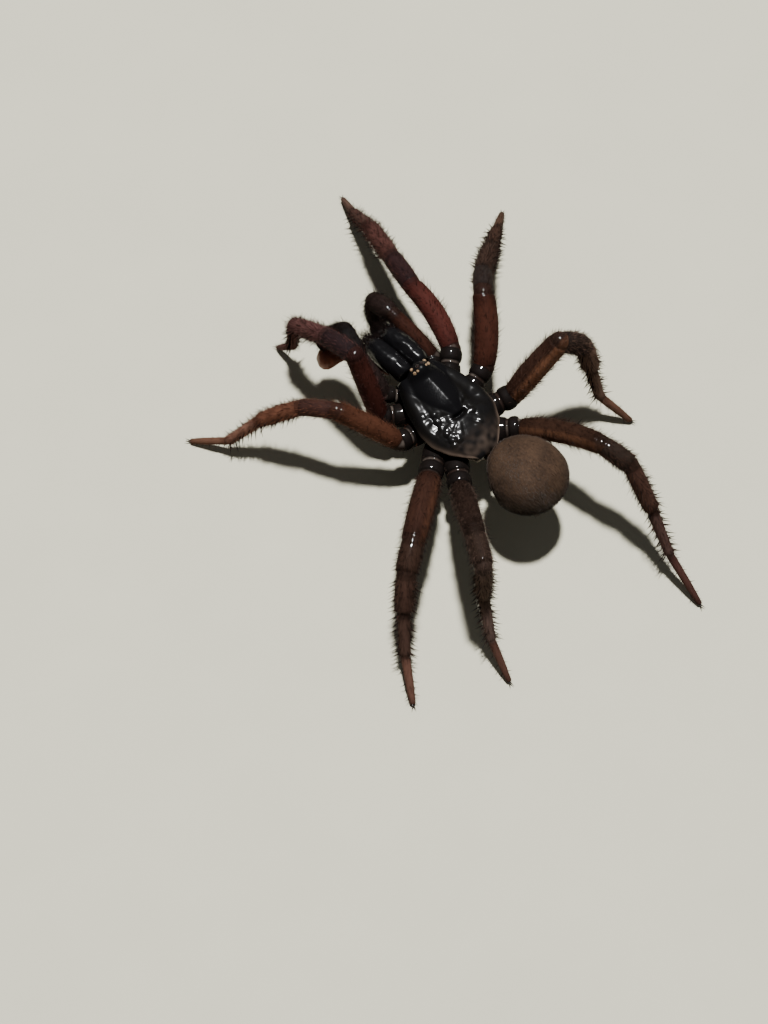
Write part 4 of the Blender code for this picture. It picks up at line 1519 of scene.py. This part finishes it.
@dataclass(frozen=True)
class Carapace:
    """The domed plate over the front body, in mm: smooth head, rugose rear, pit and furrows."""

    front: float = -3.7
    rear: float = 3.6
    margin: float = 4.78
    rim: float = 0.3
    widths: Points = ((0.0, 1.42), (0.06, 1.62), (0.25, 2.2), (0.5, 2.62), (0.66, 2.58), (0.82, 2.0),
                      (0.93, 1.25), (1.0, 0.7))
    crests: Points = ((0.0, 1.3), (0.06, 1.5), (0.11, 1.55), (0.46, 1.4), (0.6, 1.04), (0.78, 0.82),
                      (0.92, 0.5), (1.0, 0.2))
    dome_power: float = 0.85
    rows: int = 190
    arc: int = 150
    under: int = 24
    pit: float = 0.75
    mound: float = -3.12
    mound_radii: tuple[float, float] = (0.84, 0.52)
    mound_rise: float = 0.42
    eyes: tuple[Place, ...] = ((0.17, -0.14, 0.15), (0.52, -0.26, 0.14), (0.58, 0.1, 0.13), (0.35, 0.14, 0.1))

    @property
    def middle(self) -> float:
        """Middle of the plate's length."""
        return (self.front + self.rear) / 2.0

    def build(self, shop: Workshop) -> None:
        """Build and dress the plate and its eyes.

        Args:
            shop: Writer of meshes.
        """
        shares = np.linspace(0.0, 1.0, self.rows)
        blunt = domed(1.0 - np.minimum(shares / 0.035, (1.0 - shares) / 0.03))
        half = read(self.widths, shares, 0.03) * (0.9 + 0.1 * blunt)
        crest = read(self.crests, shares, 0.03) * (0.25 + 0.75 * blunt)
        y = self.front + (self.rear - self.front) * shares
        turn = np.linspace(0.0, math.pi, self.arc)
        rise = np.outer(crest, np.sin(turn) ** self.dome_power)
        top = sections(np.outer(half, np.cos(turn)), y, self.margin + rise)
        steps = np.linspace(-1.0, 1.0, self.under + 2)[1:-1]
        below = sections(np.outer(half, steps * (0.94 - 0.1 * np.abs(steps) ** 6)), y, self.margin - self.rim)
        made = shop.loft("carapace_shell", np.concatenate((top, below), axis=1))
        self._carve(made.data, shop)
        self._set_eyes(made.data, shop)
        finish = ShellFinish("black shell", specular=0.045, coat_rough=0.19)
        shop.finish(made, "shell", ("carapace", "eye_tubercle"), finish.build())

    def _set_eyes(self, mesh: bpy.types.Mesh, shop: Workshop) -> None:
        """Set the eight lenses on the mound, the first pair dark, each in a low collar.

        Args:
            mesh: The plate.
            shop: Writer of meshes.
        """
        places, normals = shop.places(mesh), normals_of(mesh)
        lenses, collar = [], np.zeros(len(places))
        for (x, y, radius), side in ((eye, side) for eye in self.eyes for side in Side):
            gap = np.linalg.norm(places[:, :2] - vec(x * side.value, self.mound + y), axis=1)
            seat = int(np.argmin(gap + (normals[:, 2] < 0.0) * 9.0))
            collar += 0.012 * hump(radius * 1.2, radius * 0.3, np.linalg.norm(places - places[seat], axis=1))
            lenses.append(ball(places[seat] - normals[seat] * radius * 0.3, radius, 20, 28))
        push(mesh, collar)
        made = shop.loft("eyes", *lenses)
        dark = LensFinish("dark eye", dark=(0.004, 0.003, 0.004), light=(0.02, 0.012, 0.01))
        pale = LensFinish("pale eye", dark=(0.1, 0.06, 0.03), light=(0.3, 0.2, 0.12))
        shop.finish(made, "eyes", (), dark.build())
        made.data.materials.append(pale.build())
        per_pair = len(made.data.polygons) // len(self.eyes)
        for polygon in made.data.polygons:
            polygon.material_index = 0 if polygon.index < per_pair else 1

    def _carve(self, mesh: bpy.types.Mesh, shop: Workshop) -> None:
        """Press the furrows and raise the grains of the plate.

        Args:
            mesh: The plate.
            shop: Writer of meshes.
        """
        places = shop.places(mesh)
        x, y, z = places.T
        out, aft = np.abs(x), y - self.pit
        share = (y - self.front) / (self.rear - self.front)
        edge = out / np.maximum(read(self.widths, share), 0.1)
        upper = ease(self.margin - 0.02, self.margin + 0.12, z)
        groove = out - np.interp(y, (-3.7, -2.4, -0.6, 0.75), (1.5, 1.62, 1.05, 0.2))
        behind = ease(1.2, 0.7, y)
        head = ease(0.12, -0.12, groove) * behind
        rugose = upper * (1.0 - 0.96 * head) * ease(0.02, 0.16, share)
        turn, far = np.arctan2(out + 0.02, aft), np.hypot(x, aft)
        furrow = sum(hump(angle, 0.1, turn) for angle in (0.5, 1.05, 1.6, 2.1))
        swell = np.hypot(x / self.mound_radii[0], (y - self.mound) / self.mound_radii[1])
        heights = self.mound_rise * np.exp(-swell ** 3)
        heights -= 0.05 * hump(0.0, 0.22, groove) * behind * ease(-3.0, -2.0, y)
        heights -= 0.03 * furrow * ease(0.35, 0.9, far) * (1.0 - ease(0.75, 0.98, edge)) * (1.0 - head)
        heights -= 0.3 * hump(0.0, 0.13, aft + 0.32 * x ** 2) * ease(0.62, 0.35, out)
        heights += 0.05 * ease(0.9, 0.99, edge) * ease(self.margin + 0.35, self.margin + 0.1, z)
        middle = ease(0.45, 0.8, far) * (1.0 - ease(0.72, 0.95, edge))
        field = (hump(1.4, 0.6, x) + 0.6 * hump(-0.85, 0.4, x)) * ease(-1.3, -0.5, y) * ease(2.6, 1.9, y)
        coarse = grains(places, 0.46) * (1.0 + 0.7 * clouds(places, 0.7, 9.0))
        heights += rugose * middle * (0.006 + 0.085 * field) * coarse
        heights += rugose * (0.012 + 0.012 * field + 0.02 * ease(0.72, 0.85, share)) * clouds(places, 0.5)
        heights -= 0.2 * (np.sqrt(x ** 2 + 0.004) - 0.06) * ease(1.0, 0.2, y) * ease(0.9, 0.6, edge)
        heights += 0.016 * clouds(places * vec(0.6, 1.0, 0.6), 0.3, 7.0) * hump(0.0, 0.35, x) * behind
        rim = ease(0.86, 1.0, edge) * ease(0.4, 0.8, share) * ease(self.margin + 0.6, self.margin, z)
        rim += ease(0.72, 0.95, share) * (0.22 + 0.4 * clouds(places, 0.4, 4.0))
        dull = head + 0.9 * rugose * (1.0 - ease(0.1, 0.5, field))
        rugose, dull, rim = (np.clip(value, 0.0, 1.0) for value in (rugose, dull, rim))
        store(mesh, rugose=rugose, dull=dull, rim=rim)
        push(mesh, heights * upper)


@dataclass(frozen=True)
class Jaw:
    """One chelicera with its digging spines, hair brush and fang, in mm as on the left side."""

    base: Place = (0.66, -4.02, 5.3)
    crest: Place = (0.76, -5.7, 5.62)
    tip: Place = (0.6, -7.35, 5.1)
    lean: float = 0.22
    half_width: float = 0.7
    half_height: float = 0.82
    sag: float = 1.3
    fang: tuple[Place, ...] = ((0.6, -6.95, 4.1), (0.6, -7.1, 3.42), (0.62, -6.75, 3.02),
                               (0.62, -6.2, 2.92), (0.6, -5.65, 3.12), (0.56, -5.3, 3.4))
    fang_radii: tuple[float, ...] = (0.33, 0.28, 0.26, 0.22, 0.15, 0.05)
    start: float = -0.1
    rings: int = 80
    count: int = 60
    brush: Coat = Coat(150.0, 0.58, 0.012, 0.6, 0.25, 0.25, 21)

    def axis(self, share: np.ndarray, side: Side) -> np.ndarray:
        """Give places on the jaw's axis.

        Args:
            share: Where on it, from 0 at the base to 1 at the tip.
            side: Side of the animal.

        Returns:
            The places, as rows.
        """
        start, mid, end = (side.place(spot) for spot in (self.base, self.crest, self.tip))
        share = share[:, None]
        places = start * (1.0 - share) ** 2 + mid * 2.0 * share * (1.0 - share) + end * share ** 2
        places[:, 0] += self.lean * share[:, 0]
        return places

    def build(self, shop: Workshop, side: Side, shell: Look, horn: Look, bristle: Look) -> list:
        """Build one jaw, its fang and its hair.

        Args:
            shop: Writer of meshes.
            side: Side of the animal.
            shell: Finish of the jaw.
            horn: Finish of the fang.
            bristle: Finish of the hair.

        Returns:
            Roots of the digging spines at the tip.
        """
        shares, turn = np.linspace(self.start, 1.0, self.rings), around(self.count)
        axis = self.axis(shares, side)
        round_base = domed((0.06 - shares) / (0.061 - self.start))
        size = np.maximum(domed((shares - 0.72) / 0.28, power=2.2) * (0.75 + 0.25 * round_base), 0.03)
        wide = self.half_width * (0.97 - 0.14 * shares + 0.12 * np.sin(math.pi * shares)) * size
        tall = self.half_height * (1.0 - 0.34 * shares) * size
        ridge = 1.0 + 0.05 * hump(math.pi / 2.0 - 0.25, 0.3, turn)
        deep = 1.0 + np.outer(self.sag * shares, np.sin(turn) < 0.0)
        rings = sections(axis[:, :1] + np.outer(wide, np.cos(turn)), axis[:, 1],
                         axis[:, 2:] + tall[:, None] * np.sin(turn) * ridge * deep)
        label = f"chelicera_{side.label}"
        made = shop.loft(label + "_shell", rings)
        self._mark(made.data, shop, shares, side)
        brush = shop.grow(made, label + "_hair", self.brush, bristle)
        shop.finish(made, "shell", (label,), shell)
        shop.finish(brush, "shell")
        self._fang(shop, side, horn)
        return self._rake(side)

    def _mark(self, mesh: bpy.types.Mesh, shop: Workshop, shares: np.ndarray, side: Side) -> None:
        """Write gloss and coat values, and press fine wrinkles into the jaw.

        Args:
            mesh: The jaw.
            shop: Writer of meshes.
            shares: Share of each ring along the jaw.
            side: Side of the animal.
        """
        places = shop.places(mesh)
        share, angle = on_rings(shares, self.count)
        top, inner = np.sin(angle), -np.cos(angle) * side.value
        bald = ease(0.0, 0.75, top) * (1.0 - ease(0.74, 0.9, share))
        hairy = 0.06 + 0.94 * ease(0.72, 0.95, share) + 0.25 * ease(0.5, 1.2, inner - top)
        coat = hairy * (1.0 - 0.96 * bald) * ease(0.02, 0.12, share)
        store(mesh, rugose=0.35 * ease(0.5, 1.0, share) * (1.0 - bald), coat=coat,
              length=0.5 + 1.4 * ease(0.6, 1.0, share), flow=unit(vec(0.0, -1.0, -0.25)),
              unwrap=flat_map(share, angle / FULL_TURN))
        waves = clouds(places * vec(1.3, 1.0, 0.5), 0.36) * hump(1.0, 0.45, top)
        push(mesh, 0.042 * waves + 0.01 * clouds(places, 0.3))

    def _rake(self, side: Side) -> list:
        """List the roots of the digging spines above the fang, in three short rows.

        Args:
            side: Side of the animal.

        Returns:
            Rows for the spine tree.
        """
        rows, draw = [], random.Random(31)
        for row, share in enumerate((0.84, 0.91, 0.965)):
            centre = self.axis(np.array([share]), side)[0]
            size = math.sqrt(1.0 - ((share - 0.84) / 0.16) ** 2)
            for step in range(5):
                angle = math.radians(35.0 + 110.0 * step / 4.0 + 11.0 * (row % 2) + draw.uniform(-6.0, 6.0))
                out = vec(math.cos(angle), 0.0, math.sin(angle))
                place = centre + out * vec(self.half_width, 0.0, self.half_height * 0.62) * size * 0.88
                aim = unit(out * 0.7 + vec(0.0, -1.0, -0.1))
                rows.append((place, aim, draw.uniform(0.28, 0.42), vec(0.0, -0.6, -1.0)))
        return rows

    def _fang(self, shop: Workshop, side: Side, horn: Look) -> None:
        """Build the curved fang, folded back below the jaw.

        Args:
            shop: Writer of meshes.
            side: Side of the animal.
            horn: Finish of the fang.
        """
        stops = np.array([side.place(spot) for spot in self.fang])
        stops[:, 0] += self.lean
        shares = np.linspace(0.0, 1.0, 44)
        smooth = path(stops, shares, 0.09)
        smooth += (stops[-1] - smooth[-1]) * ease(0.6, 1.0, shares)[:, None]
        radii = np.maximum(np.interp(shares, np.linspace(0.0, 1.0, len(stops)), self.fang_radii), 0.03)
        radii *= domed((0.08 - shares) / 0.085, 0.01)
        label = f"fang_{side.label}"
        made = shop.loft(label + "_horn", hose(smooth, radii, 24))
        store(made.data, along=on_rings(shares, 24)[0])
        shop.finish(made, "claw", (label,), horn)


@dataclass(frozen=True)
class Slab:
    """A flat rounded form along the body, in mm."""

    front: float
    rear: float
    bottom: float
    top: float
    widths: Points
    rows: int
    count: int
    power: float

    def rings(self) -> np.ndarray:
        """Make its rings.

        Returns:
            Rings from front to rear.
        """
        shares, turn = np.linspace(0.0, 1.0, self.rows), around(self.count)
        across, rise = (np.sign(wave) * np.abs(wave) ** 0.8 for wave in (np.cos(turn), np.sin(turn)))
        swell = np.sin(math.pi * (0.04 + 0.92 * shares)) ** self.power
        z = (self.top + self.bottom) / 2.0 + np.outer(swell * (self.top - self.bottom) / 2.0, rise)
        y = self.front + (self.rear - self.front) * shares
        return sections(np.outer(read(self.widths, shares, 0.04), across), y, z)


@dataclass(frozen=True)
class Underside:
    """The plate below the body with its lip, and the soft flanks above the coxae."""

    plate: Slab = Slab(-2.9, 2.7, 2.75, 4.1, ((0.0, 0.3), (0.12, 0.5), (0.3, 0.85), (0.6, 1.05), (0.85, 0.85),
                                              (1.0, 0.4)), 80, 64, 0.5)
    flanks: Slab = Slab(-3.45, 3.35, 3.35, 4.6, ((0.0, 0.9), (0.1, 1.3), (0.3, 1.75), (0.55, 2.0), (0.8, 1.6),
                                                 (1.0, 0.7)), 70, 80, 0.35)
    pits: Points = ((0.35, -1.2), (0.5, 0.2), (0.45, 1.5))
    coat: Coat = Coat(30.0, 0.35, 0.014, 0.5, 0.3, 0.3, 41)

    def build(self, shop: Workshop, bristle: Look) -> None:
        """Build the plate, its hair and the flanks.

        Args:
            shop: Writer of meshes.
            bristle: Finish of the hair.
        """
        made = shop.loft("sternum_plate", self.plate.rings())
        places = shop.places(made.data)
        x, y, z = places.T
        pits = sum(hump(0.0, 0.16, np.hypot(np.abs(x) - pit_x, y - pit_y)) for pit_x, pit_y in self.pits)
        below = ease(3.3, 3.0, z)
        push(made.data, (-0.1 * hump(-2.3, 0.07, y) - 0.05 * pits) * below + 0.01 * clouds(places, 0.3))
        store(made.data, rugose=0.3, rim=0.5 * ease(0.75, 1.0, np.abs(x)), coat=below, length=1.0,
              flow=vec(0.0, -1.0, 0.0), unwrap=flat_map((y + 4.0) / 8.0, (x + 2.0) / 4.0))
        fur = shop.grow(made, "sternum_hair", self.coat, bristle)
        finish = ShellFinish("underside shell", specular=0.3, deep=(0.02, 0.012, 0.009),
                             warm=(0.06, 0.03, 0.018), polish=0.22)
        shop.finish(made, "underside", ("sternum",), finish.build())
        shop.finish(fur, "underside")
        flanks = shop.loft("flank_skin", self.flanks.rings())
        push(flanks.data, 0.06 * clouds(shop.places(flanks.data) * vec(1.0, 1.0, 2.4), 0.5))
        skin = SoftFinish("flank skin", dark=(0.045, 0.028, 0.02), light=(0.34, 0.27, 0.2))
        shop.finish(flanks, "membrane", (), skin.build())


# Rear body


@dataclass(frozen=True)
class Abdomen:
    """The velvet egg of the rear body, its stalk and its spinnerets, in mm."""

    centre: Place = (-0.55, 6.62, 5.5)
    radii: Place = (2.5, 2.4, 2.14)
    front_reach: float = 1.18
    narrowing: float = 0.07
    coat: Coat = Coat(140.0, 0.28, 0.012, 0.72, 0.18, 0.2, 61)
    stalk: tuple[Place, ...] = ((-0.02, 3.0, 3.85), (-0.05, 3.5, 4.05), (-0.12, 4.3, 4.6))
    stalk_radius: float = 0.36
    spinneret_root: Place = (0.42, 7.78, 3.78)
    spinneret_length: float = 1.2
    spinneret_radius: float = 0.3
    spinneret_droop: float = 71.0
    spinneret_profile: Points = ((0.0, 1.0), (0.3, 1.0), (0.36, 0.84), (0.42, 0.9), (0.68, 0.84),
                                 (0.74, 0.66), (0.8, 0.68), (0.94, 0.5), (1.0, 0.1))
    tuft: Coat = Coat(70.0, 0.26, 0.02, 0.75, 0.16, 0.2, 71)

    def build(self, shop: Workshop) -> None:
        """Build and dress the rear body.

        Args:
            shop: Writer of meshes.
        """
        centre, radii = vec(*self.centre), vec(*self.radii)
        cells = globe(0.02, 100, 128)
        cells[..., ::2] *= 1.0 + self.narrowing * np.minimum(cells[..., 1:2], 0.0)
        cells[..., 1] *= np.where(cells[..., 1] < 0.0, self.front_reach, 1.0)
        skin = shop.loft("abdomen_skin", cells * radii + centre)
        places = shop.places(skin.data)
        local = (places - centre) / radii
        push(skin.data, 0.07 * clouds(places, 1.7) + 0.03 * clouds(places, 0.6, 5.0))
        normals, rearward = normals_of(skin.data), vec(0.0, 1.0, -0.15)
        turn = np.arctan2(local[:, 0], -local[:, 2]) / FULL_TURN + 0.5
        # The normal's height, "up", also drives the velvet finish's painted shade: darker flanks, lighter
        # top.
        store(skin.data, up=normals[:, 2], flow=unit(rearward - normals * (normals @ rearward)[:, None]),
              coat=0.8 + 0.2 * clouds(places, 0.8, 3.0), length=0.85 + 0.35 * ease(0.2, 1.0, local[:, 1]),
              unwrap=flat_map(local[:, 1] * 0.43 + 0.54, turn * 0.96 + 0.02))
        hair = VelvetFinish("velvet hair", specular=0.2, sheen=0.1, light=(0.054, 0.031, 0.0185),
                            dark=(0.029, 0.0165, 0.0097), depth=0.01).build()
        fur = shop.grow(skin, "abdomen_fur", self.coat, hair)
        shop.finish(skin, "velvet", ("abdomen",), VelvetFinish("velvet skin", specular=0.15).build())
        shop.finish(fur, "velvet")
        shares = np.linspace(0.0, 1.0, 50)
        folds = self.stalk_radius * (1.0 + 0.06 * np.sin(shares * 34.0))
        rings = hose(path(np.array(self.stalk), shares, 0.1), folds, 32)
        finish = SoftFinish("stalk skin", dark=(0.02, 0.013, 0.009), light=(0.07, 0.045, 0.03))
        shop.finish(shop.loft("pedicel_skin", rings), "membrane", ("pedicel",), finish.build())
        for side in Side:
            self._spinneret(shop, side, hair)

    def _spinneret(self, shop: Workshop, side: Side, hair: Look) -> None:
        """Build one jointed spinneret with its hair.

        Args:
            shop: Writer of meshes.
            side: Side of the animal.
            hair: Finish of the hair.
        """
        droop, label = math.radians(self.spinneret_droop), f"spinneret_{side.label}"
        root = vec(self.centre[0] + side.value * self.spinneret_root[0], *self.spinneret_root[1:])
        along = vec(0.0, math.cos(droop), -math.sin(droop))
        shares = np.linspace(0.0, 1.0, 40)
        radii = self.spinneret_radius * read(self.spinneret_profile, shares, 0.02)
        centres = root + np.outer(shares * self.spinneret_length, along)
        made = shop.loft(label + "_skin", tube(centres, radii, ACROSS, np.cross(ACROSS, along), 28))
        share, turn = on_rings(shares, 28)
        store(made.data, coat=ease(0.05, 0.2, share), length=0.8, flow=along,
              unwrap=flat_map(share, turn / FULL_TURN))
        tuft = shop.grow(made, label + "_hair", self.tuft, hair)
        finish = VelvetFinish("spinneret " + side.label, light=(0.06, 0.037, 0.023), depth=0.02)
        shop.finish(made, "velvet", (label,), finish.build())
        shop.finish(tuft, "velvet")


# Studio


@dataclass(frozen=True)
class Lamp:
    """A round soft light: distance and size in mm, and power in watts."""

    name: str
    distance: float
    size: float
    power: float

    def hang(self, shop: Workshop, toward: np.ndarray) -> Thing:
        """Hang the light so that it shines on the model.

        Args:
            shop: Writer of places.
            toward: Way from the model to the light.

        Returns:
            The lamp.
        """
        data = bpy.data.lights.new(self.name, "AREA")
        data.shape = "DISK"
        data.size = self.size * MM
        data.energy = self.power
        lamp = link(self.name, data)
        lamp.location = Vector(shop.place(toward * self.distance))
        lamp.rotation_euler = Vector(toward).to_track_quat("Z", "Y").to_euler()
        return lamp


@dataclass(frozen=True)
class Studio:
    """Floor, soft light and the camera at the photograph's angle."""

    azimuth: float = 140.0
    elevation: float = 67.0
    distance: float = 106.0
    aim: Place = (6.4, 0.9, 0.0)
    long_side_angle: float = 35.0
    near_clip: float = 2.0
    key_tilt: float = 12.0
    key: Lamp = Lamp("key light", 1000.0, 70.0, 25.0)
    fill: Lamp = Lamp("fill light", 300.0, 260.0, 0.05)
    sky: Colour = (0.06, 0.06, 0.062)
    floor_size: float = 1600.0

    def build(self, shop: Workshop) -> None:
        """Build the studio round the model.

        Args:
            shop: Writer of meshes.
        """
        corners = ((-0.5, -0.5, 0.0), (0.5, -0.5, 0.0), (0.5, 0.5, 0.0), (-0.5, 0.5, 0.0))
        floor = shop.mesh("floor", np.array(corners) * self.floor_size, [(0, 1, 2, 3)])
        floor.data.materials.append(FloorFinish("pale board", specular=0.3).build())
        floor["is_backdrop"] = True
        turn, rise, tilt = (math.radians(angle) for angle in (self.azimuth, self.elevation, self.key_tilt))
        toward = vec(math.sin(turn), -math.cos(turn), 0.0)
        self._camera(shop, toward * math.cos(rise) + UP * math.sin(rise))
        self.key.hang(shop, UP * math.cos(tilt) - toward * math.sin(tilt))
        self.fill.hang(shop, unit(UP * 0.8 + toward * 0.9)).visible_glossy = False
        world = bpy.data.worlds.new("studio air")
        world.use_nodes = True
        world.node_tree.nodes["Background"].inputs["Color"].default_value = (*self.sky, 1.0)
        bpy.context.scene.world = world

    def _camera(self, shop: Workshop, away: np.ndarray) -> None:
        """Set the camera as the photograph was taken.

        Args:
            shop: Writer of places.
            away: Way from the model to the camera.
        """
        data = bpy.data.cameras.new("camera")
        data.sensor_fit = "AUTO"
        data.angle = math.radians(self.long_side_angle)
        data.clip_start = self.near_clip * MM
        camera = link("camera", data)
        camera.location = Vector(shop.place(vec(*self.aim) + away * self.distance))
        camera.rotation_euler = Vector(-away).to_track_quat("-Z", "Y").to_euler()
        bpy.context.scene.camera = camera


def main() -> None:
    """Build the spider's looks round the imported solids."""
    logging.basicConfig(level=logging.INFO, format="%(name)s: %(message)s")
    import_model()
    shop = Workshop()
    Carapace().build(shop)
    shell = ShellFinish("jaw shell", specular=0.3, warm=(0.006, 0.005, 0.0055), polish=0.17, wet=0.0).build()
    horn = GlossFinish("fang horn", specular=0.15).build()
    bristle = HairFinish("body hair", dark=(0.004, 0.003, 0.003), light=(0.012, 0.008, 0.007)).build()
    rake_roots = [root for side in Side for root in Jaw().build(shop, side, shell, horn, bristle)]
    shop.spike("jaw_rakes", "claw", rake_roots, 0.13, 0.15, horn)
    Underside().build(shop, bristle)
    Abdomen().build(shop)
    build_limbs(shop)
    Studio().build(shop)


if __name__ == "__main__":
    main()
